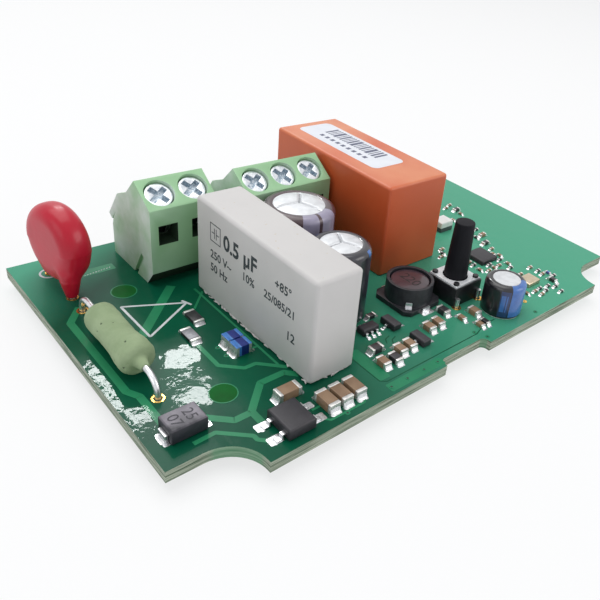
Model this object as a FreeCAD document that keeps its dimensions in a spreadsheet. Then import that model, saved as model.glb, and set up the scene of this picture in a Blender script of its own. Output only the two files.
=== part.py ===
import FreeCAD, Part
import Sketcher
import math
import os
import re

# Mains relay board of a smart home switch, with its parts soldered on one side.
# Millimetres. Along X runs the long front edge, Y goes to the terminal edge and Z is up.
# The origin is the middle of the board's outline, at the height of the clipped lead tips.
# Places of parts are counted from the board's left edge, its front edge and its top face.

Vector = FreeCAD.Vector
Rotation = FreeCAD.Rotation

doc = FreeCAD.newDocument("relay_board")
sheet = doc.addObject("Spreadsheet::Sheet", "Sizes")
size = {}
pieces = []
lead_holes = []


def enter_sizes(values):
    """Add named sizes to the sheet, one row each."""
    for name, value in values.items():
        row = len(size) + 1
        sheet.set(f"A{row}", name)
        sheet.set(f"B{row}", str(value))
        sheet.setAlias(f"B{row}", name)
        size[name] = value
    doc.recompute()


def formula(text):
    """The same formula with every named size read from the sheet."""
    def cell(match):
        word = match.group()
        return "Sizes." + word if word in size else word
    return re.sub(r"[A-Za-z_]\w*", cell, str(text))


def bind(item, **formulas):
    """Tie properties of an object to formulas of named sizes."""
    for name, text in formulas.items():
        item.setExpression(name, formula(text))
    return item


def place(item, x="0", y="0", z="0"):
    """Put an object's own origin at a point of its own frame."""
    for axis, text in zip("xyz", (x, y, z)):
        item.setExpression(f"Placement.Base.{axis}", formula(text))
    return item


def seat(item, x, y, z="0"):
    """Put an object's own origin at a point counted from the board's corner and top face."""
    return place(item, f"({x}) - board_length / 2", f"({y}) - board_width / 2",
                 f"({z}) + lead_drop + board_thickness")


def turn(item, axis, angle):
    """Turn an object about one axis by an angle in degrees, or by a formula."""
    start = angle if isinstance(angle, (int, float)) else 1.0
    item.Placement = FreeCAD.Placement(item.Placement.Base, Rotation(Vector(*axis), start))
    if isinstance(angle, str):
        item.setExpression("Placement.Rotation.Angle", formula(angle))
    return item


def box(name, x, y, z, length, width, height):
    """A block by its low corner and its three sides."""
    block = doc.addObject("Part::Box", name)
    bind(block, Length=length, Width=width, Height=height)
    return place(block, x, y, z)


def rod(name, x, y, z, radius, height):
    """An upright cylinder by the middle of its foot."""
    cylinder = doc.addObject("Part::Cylinder", name)
    bind(cylinder, Radius=radius, Height=height)
    return place(cylinder, x, y, z)


def cone(name, x, y, z, low_radius, high_radius, height):
    """An upright cone by the middle of its foot."""
    taper = doc.addObject("Part::Cone", name)
    bind(taper, Radius1=low_radius, Radius2=high_radius, Height=height)
    return place(taper, x, y, z)


def fuse(name, *items):
    """One solid from several that touch or overlap."""
    joined = doc.addObject("Part::MultiFuse", name)
    joined.Shapes = list(items)
    return joined


def cut(name, base, *tools):
    """The base with every tool taken away."""
    for number, tool in enumerate(tools):
        result = doc.addObject("Part::Cut", f"{name}_{number}")
        result.Base = base
        result.Tool = tool
        base = result
    return base


def group(name, *items):
    """Separate solids kept together as one sub-part."""
    several = doc.addObject("Part::Compound", name)
    several.Links = list(items)
    return several


def body(name):
    """An empty body for sketches and features."""
    return doc.addObject("PartDesign::Body", name)


def origin_part(owner, role):
    """A plane or axis of a body's own origin."""
    return [part for part in owner.Origin.OriginFeatures if part.Role == role][0]


def sketch_on(owner, plane):
    """An empty sketch on one of a body's origin planes."""
    sketch = owner.newObject("Sketcher::SketchObject", owner.Name + "_sketch")
    sketch.AttachmentSupport = [(origin_part(owner, plane), "")]
    sketch.MapMode = "FlatFace"
    return sketch


def pin_point(sketch, element, point, across, along):
    """Hold a point of a sketch at two formulas, counted from the sketch's origin."""
    for kind, text in (("DistanceX", across), ("DistanceY", along)):
        number = sketch.addConstraint(Sketcher.Constraint(kind, -1, 1, element, point, 1.0))
        sketch.setExpression(f"Constraints[{number}]", formula(text))


def outline(owner, plane, points):
    """A closed outline of straight sides through points given as formulas."""
    sketch = sketch_on(owner, plane)
    count = len(points)
    ring = [Vector(math.cos(math.tau * i / count), math.sin(math.tau * i / count), 0)
            for i in range(count)]
    for i in range(count):
        sketch.addGeometry(Part.LineSegment(ring[i], ring[(i + 1) % count]), False)
    for i in range(count):
        sketch.addConstraint(Sketcher.Constraint("Coincident", i, 2, (i + 1) % count, 1))
    for i, (across, along) in enumerate(points):
        pin_point(sketch, i, 1, across, along)
    return sketch


def circles(owner, plane, places):
    """Circles given by formulas of their middle and radius."""
    sketch = sketch_on(owner, plane)
    for across, along, radius in places:
        number = sketch.addGeometry(Part.Circle(Vector(0, 0, 0), Vector(0, 0, 1), 1.0), False)
        pin_point(sketch, number, 3, across, along)
        rule = sketch.addConstraint(Sketcher.Constraint("Radius", number, 1.0))
        sketch.setExpression(f"Constraints[{rule}]", formula(radius))
    return sketch


def pad(owner, sketch, length):
    """Stand material on a sketch."""
    feature = owner.newObject("PartDesign::Pad", owner.Name + "_pad")
    feature.Profile = sketch
    bind(feature, Length=length)
    doc.recompute()
    return feature


def pocket_up(owner, sketch, depth):
    """Cut from a sketch's plane into the material above it."""
    before = owner.Shape.Volume
    feature = owner.newObject("PartDesign::Pocket", owner.Name + "_pocket")
    feature.Profile = sketch
    feature.Reversed = True
    bind(feature, Length=depth)
    doc.recompute()
    if not owner.Shape.Volume < before:
        raise RuntimeError(f"{owner.Name}: the pocket takes nothing away")
    return feature


def turned(owner, points, axis="V_Axis"):
    """A solid of revolution from an outline in the XZ plane, about its upright or level axis."""
    sketch = outline(owner, "XZ_Plane", points)
    feature = owner.newObject("PartDesign::Revolution", owner.Name + "_turned")
    feature.Profile = sketch
    feature.ReferenceAxis = (sketch, [axis])
    feature.Angle = 360.0
    doc.recompute()
    return feature


def round_edges(owner, radius, keep):
    """Round the edges of a body whose middle point passes a test."""
    tip = owner.Tip
    names = []
    for number, edge in enumerate(tip.Shape.Edges, 1):
        middle = edge.valueAt((edge.FirstParameter + edge.LastParameter) / 2)
        if keep(middle, edge):
            names.append(f"Edge{number}")
    feature = owner.newObject("PartDesign::Fillet", owner.Name + "_rounding")
    feature.Base = (tip, names)
    bind(feature, Radius=radius)
    doc.recompute()
    return feature


def upright(edge):
    """Whether an edge is a straight line along Z."""
    ends = [vertex.Point for vertex in edge.Vertexes]
    if len(ends) != 2:
        return False
    return math.hypot(ends[0].x - ends[1].x, ends[0].y - ends[1].y) < 1e-6


def block(owner, length, width, height, x="0", y="0"):
    """A pad over a rectangle with its low corner at x, y."""
    corners = [(x, y), (f"{x} + {length}", y), (f"{x} + {length}", f"{y} + {width}"),
               (x, f"{y} + {width}")]
    return pad(owner, outline(owner, "XY_Plane", corners), height)


def keep_as(item, label):
    """Name a finished sub-part, which goes to a file of its own."""
    item.Label = label
    pieces.append(item)
    return item


def lead_through(name, x, y, radius, top="0"):
    """A straight round lead from a height above the board down to the common tip height."""
    lead_holes.append((x, y, radius))
    wire = rod(name, "0", "0", "0", radius, f"({top}) + board_thickness + lead_drop")
    return seat(wire, x, y, "0 - board_thickness - lead_drop")


# Circuit board: glass and epoxy laminate, routed to shape.
# Quarter-round notches at both front corners clear the posts of the casing.
board_sizes = {
    "board_length": 86.0,
    "board_width": 52.5,
    "board_thickness": 1.6,
    "left_notch_length": 9.3,
    "left_notch_depth": 5.3,
    "right_notch_length": 10.4,
    "right_notch_depth": 5.1,
    "notch_radius": 4.9,
    "recess_start": 37.6,
    "recess_length": 9.4,
    "recess_depth": 1.35,
    "recess_corner": 0.9,
    "lead_drop": 1.6,
    "lead_hole_gap": 0.15,
}
enter_sizes(board_sizes)


# Terminal blocks: green moulded housings with a sloped screw face on the board side and
# a sloped wire face on the outer side. Each pole has a screw that lifts a clamp cage.
terminal_sizes = {
    "pole_pitch": 5.08,
    "terminal_end_wall": 0.09,
    "terminal_front_height": 12.2,
    "terminal_ridge_height": 15.1,
    "terminal_face_depth": 4.4,
    "terminal_depth": 12.6,
    "terminal_shoulder_depth": 9.4,
    "terminal_shoulder_height": 9.9,
    "terminal_wire_face_depth": 12.1,
    "terminal_wire_face_height": 6.2,
    "terminal_foot_height": 4.8,
    "terminal_toe_depth": 1.8,
    "terminal_toe_height": 2.3,
    "terminal_rib_width": 0.62,
    "terminal_rib_reach": 1.15,
    "terminal_groove_depth": 0.55,
    "terminal_groove_width": 0.85,
    "terminal_window_width": 2.9,
    "terminal_window_height": 3.0,
    "terminal_window_sill": 6.7,
    "well_radius": 2.15,
    "well_depth": 2.1,
    "well_floor": 0.9,
    "shank_hole_radius": 1.6,
    "chamber_width": 4.1,
    "chamber_back": 3.0,
    "chamber_front": 2.2,
    "chamber_depth": 11.5,
    "wire_entry_width": 3.8,
    "wire_entry_height": 3.6,
    "wire_entry_start": 7.7,
    "screw_head_radius": 1.95,
    "screw_head_height": 1.35,
    "screw_head_sink": 0.5,
    "screw_slot_width": 0.85,
    "screw_slot_depth": 0.95,
    "screw_shank_radius": 1.45,
    "screw_thread_gap": 0.05,
    "screw_tip_gap": 0.1,
    "cage_width": 3.9,
    "cage_wall": 0.5,
    "cage_top": 1.0,
    "cage_floor": 0.8,
    "cage_length": 3.4,
    "cage_start": 5.9,
    "cage_height": 5.3,
    "contact_bar_start": 7.0,
    "contact_bar_thickness": 0.6,
    "contact_bar_width": 2.6,
    "contact_bar_back": 2.9,
    "contact_bar_reach": 1.8,
    "terminal_pin_width": 1.0,
    "terminal_pin_depth": 0.8,
    "terminal_pin_place": 5.8,
    "terminal_pin_top": 3.8,
    "terminal_pin_gap": 0.1,
    "two_way_x": 14.6,
    "two_way_y": 37.1,
    "three_way_x": 28.87,
    "three_way_y": 35.0,
}
enter_sizes(terminal_sizes)
face_tilt = "atan((terminal_ridge_height - terminal_front_height) / terminal_face_depth)"
face_middle_y = "terminal_face_depth / 2"
face_middle_z = "(terminal_front_height + terminal_ridge_height) / 2"


def seat_on_axis(item, x, y, pole):
    """Set a piece drawn about a screw's axis on that screw: +Z out of the face, +Y to the wire."""
    turn(item, (1, 0, 0), face_tilt)
    return seat(item, f"{x} + terminal_end_wall + pole_pitch * ({pole} + 0.5)",
                f"{y} + {face_middle_y}", face_middle_z)


def pole_cavity(name, x, y, pole):
    """What one pole takes out of its housing: screw well, clamp chamber and wire entry."""
    well = rod(name + "_well", "0", "0", "0 - well_depth", "well_radius", "well_depth + 4")
    throat = rod(name + "_throat", "0", "0", "0 - well_depth - well_floor - 0.5",
                 "shank_hole_radius", "well_floor + 1")
    chamber = box(name + "_chamber", "0 - chamber_width / 2", "0 - chamber_back",
                  "0 - chamber_depth", "chamber_width", "chamber_back + chamber_front",
                  "chamber_depth - well_depth - well_floor")
    entry = box(name + "_entry", "0 - wire_entry_width / 2", "chamber_front - 0.5",
                "0 - wire_entry_start - wire_entry_height", "wire_entry_width",
                "terminal_depth", "wire_entry_height")
    return seat_on_axis(fuse(name, well, throat, chamber, entry), x, y, pole)


def terminal_block(label, ways, x, y, first_pole):
    """One housing with its screws, clamp cages and contacts."""
    housing = body(label + "_moulding")
    profile = [("terminal_toe_depth", "0"), ("0", "terminal_toe_height"),
               ("0", "terminal_front_height"), ("terminal_face_depth", "terminal_ridge_height"),
               ("terminal_shoulder_depth", "terminal_shoulder_height"),
               ("terminal_wire_face_depth", "terminal_wire_face_height"),
               ("terminal_depth", "terminal_foot_height"), ("terminal_depth", "0")]
    width = f"pole_pitch * {ways} + terminal_end_wall * 2"
    pad(housing, outline(housing, "YZ_Plane", profile), width)
    seat(housing, x, y)
    rib = body(label + "_rib")
    reach = "terminal_rib_reach"
    rib_profile = [("terminal_shoulder_depth - 2.2", "terminal_shoulder_height + 2.3"),
                   (f"terminal_shoulder_depth + {reach} * 0.7", f"terminal_shoulder_height + {reach} * 0.8"),
                   (f"terminal_wire_face_depth + {reach} * 1.3", "terminal_wire_face_height + 0.1"),
                   (f"terminal_wire_face_depth + {reach} * 0.5", "terminal_wire_face_height - 0.5"),
                   ("terminal_shoulder_depth + 0.1", "terminal_shoulder_height - 0.4"),
                   ("terminal_shoulder_depth - 2.0", "terminal_shoulder_height + 0.6")]
    pad(rib, outline(rib, "YZ_Plane", rib_profile), "terminal_rib_width")
    seat(rib, x, y)
    groove = box(label + "_groove", "0", "0", "0", "terminal_groove_depth * 2",
                 "terminal_groove_width", "5.6")
    turn(groove, (1, 0, 0), 32.0)
    seat(groove, f"{x} - terminal_groove_depth", f"{y} + 5.6", "0 - 1")
    cavities = []
    for pole in range(ways):
        middle = f"{x} + terminal_end_wall + pole_pitch * ({pole} + 0.5)"
        cavities.append(pole_cavity(f"{label}_cavity_{pole}", x, y, pole))
        window = box(f"{label}_window_{pole}", "0", "0", "0", "terminal_window_width",
                     "3.4", "terminal_window_height")
        cavities.append(seat(window, f"{middle} - terminal_window_width / 2", f"{y} - 0.4",
                             "terminal_window_sill"))
        pin_gap = "terminal_pin_gap"
        slot = box(f"{label}_pin_slot_{pole}", "0", "0", "0", f"terminal_pin_width + 2 * {pin_gap}",
                   f"terminal_pin_depth + 2 * {pin_gap}", "terminal_pin_top + 1.2")
        cavities.append(seat(slot, f"{middle} - terminal_pin_width / 2 - {pin_gap}",
                             f"{y} + terminal_pin_place - terminal_pin_depth / 2 - {pin_gap}", "0 - 1"))
    moulding = fuse(label + "_with_rib", housing, rib)
    keep_as(cut(label, moulding, groove, *cavities), label)
    for pole in range(ways):
        clamp_screw(f"clamp_screw_{first_pole + pole}", x, y, pole)
        clamp_cage(f"clamp_cage_{first_pole + pole}", x, y, pole)
    return [contact(f"{label}_contact_{pole}", x, y, pole) for pole in range(ways)]


def clamp_screw(label, x, y, pole):
    """Zinc-plated screw, drawn upright: its face lies below the housing's sloped face."""
    tip = "contact_bar_start - screw_tip_gap"
    head_foot = "0 - screw_head_sink - screw_head_height"
    shape = body(label + "_blank")
    turned(shape, [("0", "0 - screw_head_sink"), ("screw_head_radius", "0 - screw_head_sink"),
                   ("screw_head_radius", head_foot), ("screw_shank_radius", head_foot),
                   ("screw_shank_radius", f"0.4 - ({tip})"), ("screw_shank_radius - 0.4", f"0 - ({tip})"),
                   ("0", f"0 - ({tip})")])
    slots = []
    for number, angle in enumerate((35.0, 125.0)):
        slot = doc.addObject("Part::Box", f"{label}_slot_{number}")
        bind(slot, Length="screw_head_radius * 1.6", Width="screw_slot_width", Height="screw_slot_depth + 1")
        turned_corner = Rotation(Vector(0, 0, 1), angle)
        corner = turned_corner.multVec(Vector(-size["screw_head_radius"] * 0.8,
                                              -size["screw_slot_width"] / 2, 0))
        slot.Placement = FreeCAD.Placement(corner, turned_corner)
        slot.setExpression("Placement.Base.z", formula("0 - screw_head_sink - screw_slot_depth"))
        slots.append(slot)
    return keep_as(seat_on_axis(cut(label, shape, *slots), x, y, pole), label)


def clamp_cage(label, x, y, pole):
    """Plated steel cage, open along the wire, whose roof runs on the screw."""
    outer = box(label + "_outer", "0 - cage_width / 2", "0 - cage_length / 2",
                "0 - cage_start - cage_height", "cage_width", "cage_length", "cage_height")
    inner = box(label + "_inner", "cage_wall - cage_width / 2", "0 - cage_length",
                "cage_floor - cage_start - cage_height", "cage_width - 2 * cage_wall",
                "cage_length * 2", "cage_height - cage_top - cage_floor")
    bore = rod(label + "_bore", "0", "0", "0 - cage_start - cage_top - 0.5",
               "screw_shank_radius + screw_thread_gap", "cage_top + 1")
    return keep_as(seat_on_axis(cut(label, outer, inner, bore), x, y, pole), label)


def contact(name, x, y, pole):
    """Tinned contact bar inside the cage, bent down into a board pin."""
    bar = box(name + "_bar", "0 - contact_bar_width / 2", "0 - contact_bar_back",
              "0 - contact_bar_start - contact_bar_thickness", "contact_bar_width",
              "contact_bar_back + contact_bar_reach", "contact_bar_thickness")
    leg = box(name + "_leg", "0 - contact_bar_width / 2", "0 - contact_bar_back",
              "0 - chamber_depth + 0.3", "contact_bar_width", "contact_bar_thickness",
              "chamber_depth - contact_bar_start - 0.3")
    bent = seat_on_axis(fuse(name + "_bent", bar, leg), x, y, pole)
    middle = f"{x} + terminal_end_wall + pole_pitch * ({pole} + 0.5)"
    pin = box(name + "_pin", "0", "0", "0", "terminal_pin_width", "terminal_pin_depth",
              "terminal_pin_top + board_thickness + lead_drop")
    place_y = f"{y} + terminal_pin_place"
    seat(pin, f"{middle} - terminal_pin_width / 2", f"{place_y} - terminal_pin_depth / 2",
         "0 - board_thickness - lead_drop")
    lead_holes.append((middle, place_y, "terminal_pin_width * 0.65"))
    return fuse(name, bent, pin)


contacts = terminal_block("terminal_housing_two_way", 2, "two_way_x", "two_way_y", 1)
contacts += terminal_block("terminal_housing_three_way", 3, "three_way_x", "three_way_y", 3)
keep_as(group("terminal_contacts", *contacts), "terminal_contacts")


# Film capacitor: a pale plastic case, open below, with the wound film inside and
# the mouth closed by cast resin that the two leads come through.
film_sizes = {
    "film_x": 19.95,
    "film_y": 7.25,
    "film_length": 27.0,
    "film_width": 7.1,
    "film_height": 14.7,
    "film_wall": 0.8,
    "film_corner": 0.55,
    "film_standoff": 0.25,
    "film_resin_depth": 2.4,
    "film_resin_sink": 0.3,
    "film_lead_pitch": 22.5,
    "film_lead_radius": 0.4,
    "film_winding_gap": 0.3,
    "film_winding_height": 10.2,
}
enter_sizes(film_sizes)
case = body("film_case_moulding")
block(case, "film_width", "film_length", "film_height")
round_edges(case, "film_corner", lambda middle, edge: middle.z > 0.01)
film_mouth = [("film_wall", "film_wall"), ("film_width - film_wall", "film_wall"),
              ("film_width - film_wall", "film_length - film_wall"), ("film_wall", "film_length - film_wall")]
pocket_up(case, outline(case, "XY_Plane", film_mouth), "film_height - film_wall")
keep_as(seat(case, "film_x", "film_y", "film_standoff"), "film_capacitor_case")

film_lead_x = "film_x + film_width / 2"
film_leads = [lead_through(f"film_lead_{side}", film_lead_x,
                           f"film_y + film_length / 2 + film_lead_pitch * {side}", "film_lead_radius",
                           "film_standoff + film_resin_sink + film_resin_depth + film_winding_gap")
              for side in (-0.5, 0.5)]
resin_block = box("film_resin_block", "0", "0", "0", "film_width - 2 * film_wall",
                  "film_length - 2 * film_wall", "film_resin_depth")
seat(resin_block, "film_x + film_wall", "film_y + film_wall", "film_standoff + film_resin_sink")
keep_as(cut("film_resin", resin_block, *film_leads), "film_capacitor_resin")
keep_as(group("film_leads", *film_leads), "film_capacitor_leads")

winding = body("film_winding_roll")
block(winding, "film_width - 2 * film_wall - 2 * film_winding_gap",
      "film_length - 2 * film_wall - 2 * film_winding_gap", "film_winding_height")
round_edges(winding, "film_width / 2 - film_wall - film_winding_gap - 0.8",
            lambda middle, edge: not upright(edge) and abs(edge.Vertexes[0].Y - edge.Vertexes[-1].Y) > 1)
keep_as(seat(winding, "film_x + film_wall + film_winding_gap", "film_y + film_wall + film_winding_gap",
             "film_standoff + film_resin_sink + film_resin_depth + film_winding_gap"),
        "film_capacitor_winding")


# Relay: an orange cover over a plastic base that carries the coil, yoke, hinged armature
# and the contacts. The armature tips by the gap at the coil's pole and lowers its contact.
relay_sizes = {
    "relay_x": 45.1,
    "relay_y": 22.0,
    "relay_width": 12.9,
    "relay_length": 29.0,
    "relay_height": 15.4,
    "relay_wall": 0.8,
    "relay_corner": 0.5,
    "relay_standoff": 0.1,
    "relay_base_gap": 0.1,
    "relay_base_lift": 0.2,
    "relay_base_thickness": 2.0,
    "bobbin_start": 3.2,
    "bobbin_length": 13.8,
    "bobbin_flange": 1.0,
    "bobbin_width": 10.0,
    "bobbin_tube_radius": 2.2,
    "core_radius": 1.6,
    "core_height": 7.4,
    "coil_radius": 4.3,
    "coil_gap": 0.05,
    "core_reach": 0.3,
    "yoke_thickness": 1.2,
    "yoke_width": 8.0,
    "yoke_top": 13.8,
    "pole_gap": 0.6,
    "armature_thickness": 1.1,
    "armature_width": 7.5,
    "armature_foot": 3.2,
    "yoke_air": 0.3,
    "blade_thickness": 0.3,
    "blade_width": 4.0,
    "blade_length": 7.6,
    "contact_radius": 1.4,
    "contact_height": 0.8,
    "contact_air": 0.6,
    "contact_reach": 6.0,
    "post_width": 3.0,
    "post_thickness": 0.8,
    "relay_pin_radius": 0.5,
    "relay_pin_inset": 2.6,
    "relay_coil_pin_y": 3.9,
    "relay_common_pin_y": 19.4,
    "relay_load_pin_y": 24.4,
    "relay_pin_gap": 0.05,
}
enter_sizes(relay_sizes)
cover = body("relay_cover_moulding")
block(cover, "relay_width", "relay_length", "relay_height")
round_edges(cover, "relay_corner", lambda middle, edge: middle.z > 0.01)
relay_mouth = [("relay_wall", "relay_wall"), ("relay_width - relay_wall", "relay_wall"),
               ("relay_width - relay_wall", "relay_length - relay_wall"),
               ("relay_wall", "relay_length - relay_wall")]
pocket_up(cover, outline(cover, "XY_Plane", relay_mouth), "relay_height - relay_wall")
keep_as(seat(cover, "relay_x", "relay_y", "relay_standoff"), "relay_cover")

relay_floor = "relay_standoff + relay_base_lift + relay_base_thickness"
relay_middle = "relay_x + relay_width / 2"
relay_pins = []
relay_base_holes = []
for row, row_y in enumerate(("relay_coil_pin_y", "relay_common_pin_y", "relay_load_pin_y")):
    for side in (-1, 1):
        pin_x = f"{relay_middle} + ({side}) * (relay_width / 2 - relay_pin_inset)"
        pin_y = f"relay_y + {row_y}"
        relay_pins.append(lead_through(f"relay_pin_{row}_{side + 1}", pin_x, pin_y, "relay_pin_radius",
                                       relay_floor))
        hole = rod(f"relay_pin_hole_{row}_{side + 1}", "0", "0", "0", "relay_pin_radius + relay_pin_gap",
                   "relay_base_thickness + 2")
        relay_base_holes.append(seat(hole, pin_x, pin_y, "relay_base_lift - 1"))
base_plate = box("relay_base_plate", "0", "0", "0", "relay_width - 2 * relay_wall - 2 * relay_base_gap",
                 "relay_length - 2 * relay_wall - 2 * relay_base_gap", "relay_base_thickness")
seat(base_plate, "relay_x + relay_wall + relay_base_gap", "relay_y + relay_wall + relay_base_gap",
     "relay_standoff + relay_base_lift")
keep_as(cut("relay_base", base_plate, *relay_base_holes), "relay_base")
keep_as(group("relay_pin_set", *relay_pins), "relay_pins")


def lying(item, y):
    """Lay a piece drawn upright along Y on the coil's axis, from a distance behind the cover's end."""
    turn(item, (1, 0, 0), -90.0)
    return seat(item, relay_middle, f"relay_y + {y}", "relay_standoff + core_height")


bobbin_end = "bobbin_start + bobbin_length"
core_back = "bobbin_start - 0.7"
flange_drop = "core_height - relay_base_lift - relay_base_thickness"
flanges = []
for name, start in (("near", "bobbin_start"), ("far", f"{bobbin_end} - bobbin_flange")):
    flange = box(f"bobbin_flange_{name}", "0", "0", "0", "bobbin_width", "bobbin_flange",
                 f"{flange_drop} + coil_radius + 0.5")
    flanges.append(seat(flange, f"{relay_middle} - bobbin_width / 2", f"relay_y + {start}", relay_floor))
tube = lying(rod("bobbin_tube", "0", "0", "0", "bobbin_tube_radius", "bobbin_length"), "bobbin_start")
core_bore = lying(rod("bobbin_bore", "0", "0", "0", "core_radius", "bobbin_length + 4"),
                  "bobbin_start - 2")
keep_as(cut("relay_bobbin", fuse("bobbin_spool", tube, *flanges), core_bore), "relay_bobbin")
keep_as(lying(rod("relay_core_rod", "0", "0", "0", "core_radius",
                  "bobbin_length + core_reach + 0.7"), core_back), "relay_core")
coil_roll = rod("coil_roll", "0", "0", "0", "coil_radius",
                "bobbin_length - 2 * bobbin_flange - 2 * coil_gap")
coil_eye = rod("coil_eye", "0", "0", "0 - 1", "bobbin_tube_radius", "bobbin_length + 2")
keep_as(lying(cut("relay_coil", coil_roll, coil_eye), "bobbin_start + bobbin_flange + coil_gap"),
        "relay_coil")

# Yoke: one bent steel strip behind the coil and over it, up to the armature's hinge.
core_face = f"{bobbin_end} + core_reach"
armature_back = f"{core_face} + pole_gap"
yoke_left = f"{relay_middle} - yoke_width / 2"
yoke_back = box("yoke_back", "0", "0", "0", "yoke_width", "yoke_thickness",
                f"yoke_top + relay_standoff - ({relay_floor})")
seat(yoke_back, yoke_left, f"relay_y + ({core_back}) - yoke_thickness", relay_floor)
yoke_roof = box("yoke_roof", "0", "0", "0", "yoke_width",
                f"{armature_back} - yoke_air - ({core_back}) + yoke_thickness", "yoke_thickness")
seat(yoke_roof, yoke_left, f"relay_y + ({core_back}) - yoke_thickness",
     "relay_standoff + yoke_top - yoke_thickness")
keep_as(fuse("relay_yoke", yoke_back, yoke_roof), "relay_yoke")

armature_plate = box("armature_plate", "0", "0", "0", "armature_width", "armature_thickness",
                     "yoke_top - armature_foot")
keep_as(seat(armature_plate, f"{relay_middle} - armature_width / 2", f"relay_y + {armature_back}",
             "relay_standoff + armature_foot"), "relay_armature")
blade_start = f"{armature_back} + armature_thickness"
blade = box("contact_blade", "0", "0", "0", "blade_width", "blade_length", "blade_thickness")
seat(blade, f"{relay_middle} - blade_width / 2", f"relay_y + {blade_start}",
     "relay_standoff + yoke_top - blade_thickness - 0.2")
contact_y = f"relay_y + {blade_start} + contact_reach"
moving_rivet = seat(rod("moving_rivet", "0", "0", "0", "contact_radius", "contact_height"), relay_middle,
                    contact_y, "relay_standoff + yoke_top - blade_thickness - 0.2 - contact_height")
keep_as(fuse("relay_moving_contact", blade, moving_rivet), "relay_moving_contact")
fixed_top = "relay_standoff + yoke_top - blade_thickness - 0.2 - contact_height - contact_air"
fixed_rivet = seat(rod("fixed_rivet", "0", "0", "0", "contact_radius", "contact_height"), relay_middle,
                   contact_y, f"{fixed_top} - contact_height")
post = box("contact_post", "0", "0", "0", "post_width", "post_thickness",
           f"{fixed_top} - contact_height - ({relay_floor})")
seat(post, f"{relay_middle} - post_width / 2", f"{contact_y} - post_thickness / 2", relay_floor)
keep_as(fuse("relay_fixed_contact", fixed_rivet, post), "relay_fixed_contact")


# Varistor: a disc dipped in red lacquer that runs down both leads as a neck.
varistor_sizes = {
    "varistor_x": 4.9,
    "varistor_y": 43.9,
    "varistor_centre_height": 7.2,
    "varistor_radius": 5.55,
    "varistor_thickness": 4.3,
    "varistor_rounding": 1.9,
    "varistor_turn": 10.0,
    "varistor_lead_x": 4.6,
    "varistor_lead_pitch": 7.7,
    "varistor_lead_middle_y": 44.4,
    "varistor_lead_radius": 0.4,
    "varistor_neck_foot": 0.3,
    "varistor_neck_low": 0.8,
    "varistor_neck_high": 1.7,
    "varistor_neck_height": 4.2,
}
enter_sizes(varistor_sizes)
disc = body("varistor_disc")
half = "varistor_thickness / 2"
turned(disc, [(f"0 - {half}", "0"), (f"0 - {half}", "varistor_radius"), (half, "varistor_radius"), (half, "0")],
       axis="H_Axis")
round_edges(disc, "varistor_rounding", lambda middle, edge: edge.Length > size["varistor_radius"] * 4)
turn(disc, (0, 0, 1), "varistor_turn")
seat(disc, "varistor_x", "varistor_y", "varistor_centre_height")
varistor_leads = []
necks = []
for side in (-0.5, 0.5):
    lead_y = f"varistor_lead_middle_y + varistor_lead_pitch * {side}"
    varistor_leads.append(lead_through(f"varistor_lead_{side}", "varistor_lead_x", lead_y,
                                       "varistor_lead_radius", "varistor_neck_foot + varistor_neck_height"))
    neck = cone(f"varistor_neck_{side}", "0", "0", "0", "varistor_neck_low", "varistor_neck_high",
                "varistor_neck_height")
    necks.append(seat(neck, "varistor_lead_x", lead_y, "varistor_neck_foot"))
keep_as(cut("varistor_body", fuse("varistor_lacquer", disc, *necks), *varistor_leads), "varistor_body")
keep_as(group("varistor_lead_pair", *varistor_leads), "varistor_leads")


# Power resistor: a wound ceramic rod in green cement, thicker over its two end caps,
# held above the board by axial leads that bend down into their holes.
resistor_sizes = {
    "resistor_x": 4.5,
    "resistor_middle_y": 25.75,
    "resistor_axis_height": 2.65,
    "resistor_length": 12.0,
    "resistor_end_radius": 2.26,
    "resistor_rear_radius": 2.06,
    "resistor_waist_radius": 1.99,
    "resistor_end_rounding": 1.05,
    "resistor_neck_length": 1.3,
    "resistor_neck_radius": 0.52,
    "resistor_lead_radius": 0.4,
    "resistor_lead_grip": 2.5,
    "resistor_front_pad_y": 15.7,
    "resistor_rear_pad_y": 36.9,
    "resistor_bend_radius": 2.2,
}
enter_sizes(resistor_sizes)
cement = body("resistor_cement")
half = "resistor_length / 2"
turned(cement, [("resistor_lead_radius", f"0 - {half} - resistor_neck_length"),
                ("resistor_neck_radius", f"0 - {half} - resistor_neck_length"),
                ("resistor_neck_radius + 0.35", f"0 - {half} + 0.1"),
                ("resistor_end_radius", f"0 - {half} + 0.1"),
                ("resistor_end_radius", f"0 - {half} * 0.6"),
                ("resistor_waist_radius", f"0 - {half} * 0.2"),
                ("resistor_waist_radius", f"{half} * 0.2"),
                ("resistor_rear_radius", f"{half} * 0.6"),
                ("resistor_rear_radius", f"{half} - 0.1"),
                ("resistor_neck_radius + 0.35", f"{half} - 0.1"),
                ("resistor_neck_radius", f"{half} + resistor_neck_length"),
                ("resistor_lead_radius", f"{half} + resistor_neck_length")])
rim_length = math.tau * size["resistor_rear_radius"] - 0.01
rim_place = size["resistor_length"] / 2 - 0.1
round_edges(cement, "resistor_end_rounding",
            lambda middle, edge: edge.Length > rim_length and abs(abs(middle.z) - rim_place) < 0.01)
turn(cement, (1, 0, 0), -90.0)
keep_as(seat(cement, "resistor_x", "resistor_middle_y", "resistor_axis_height"), "power_resistor_body")


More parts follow.
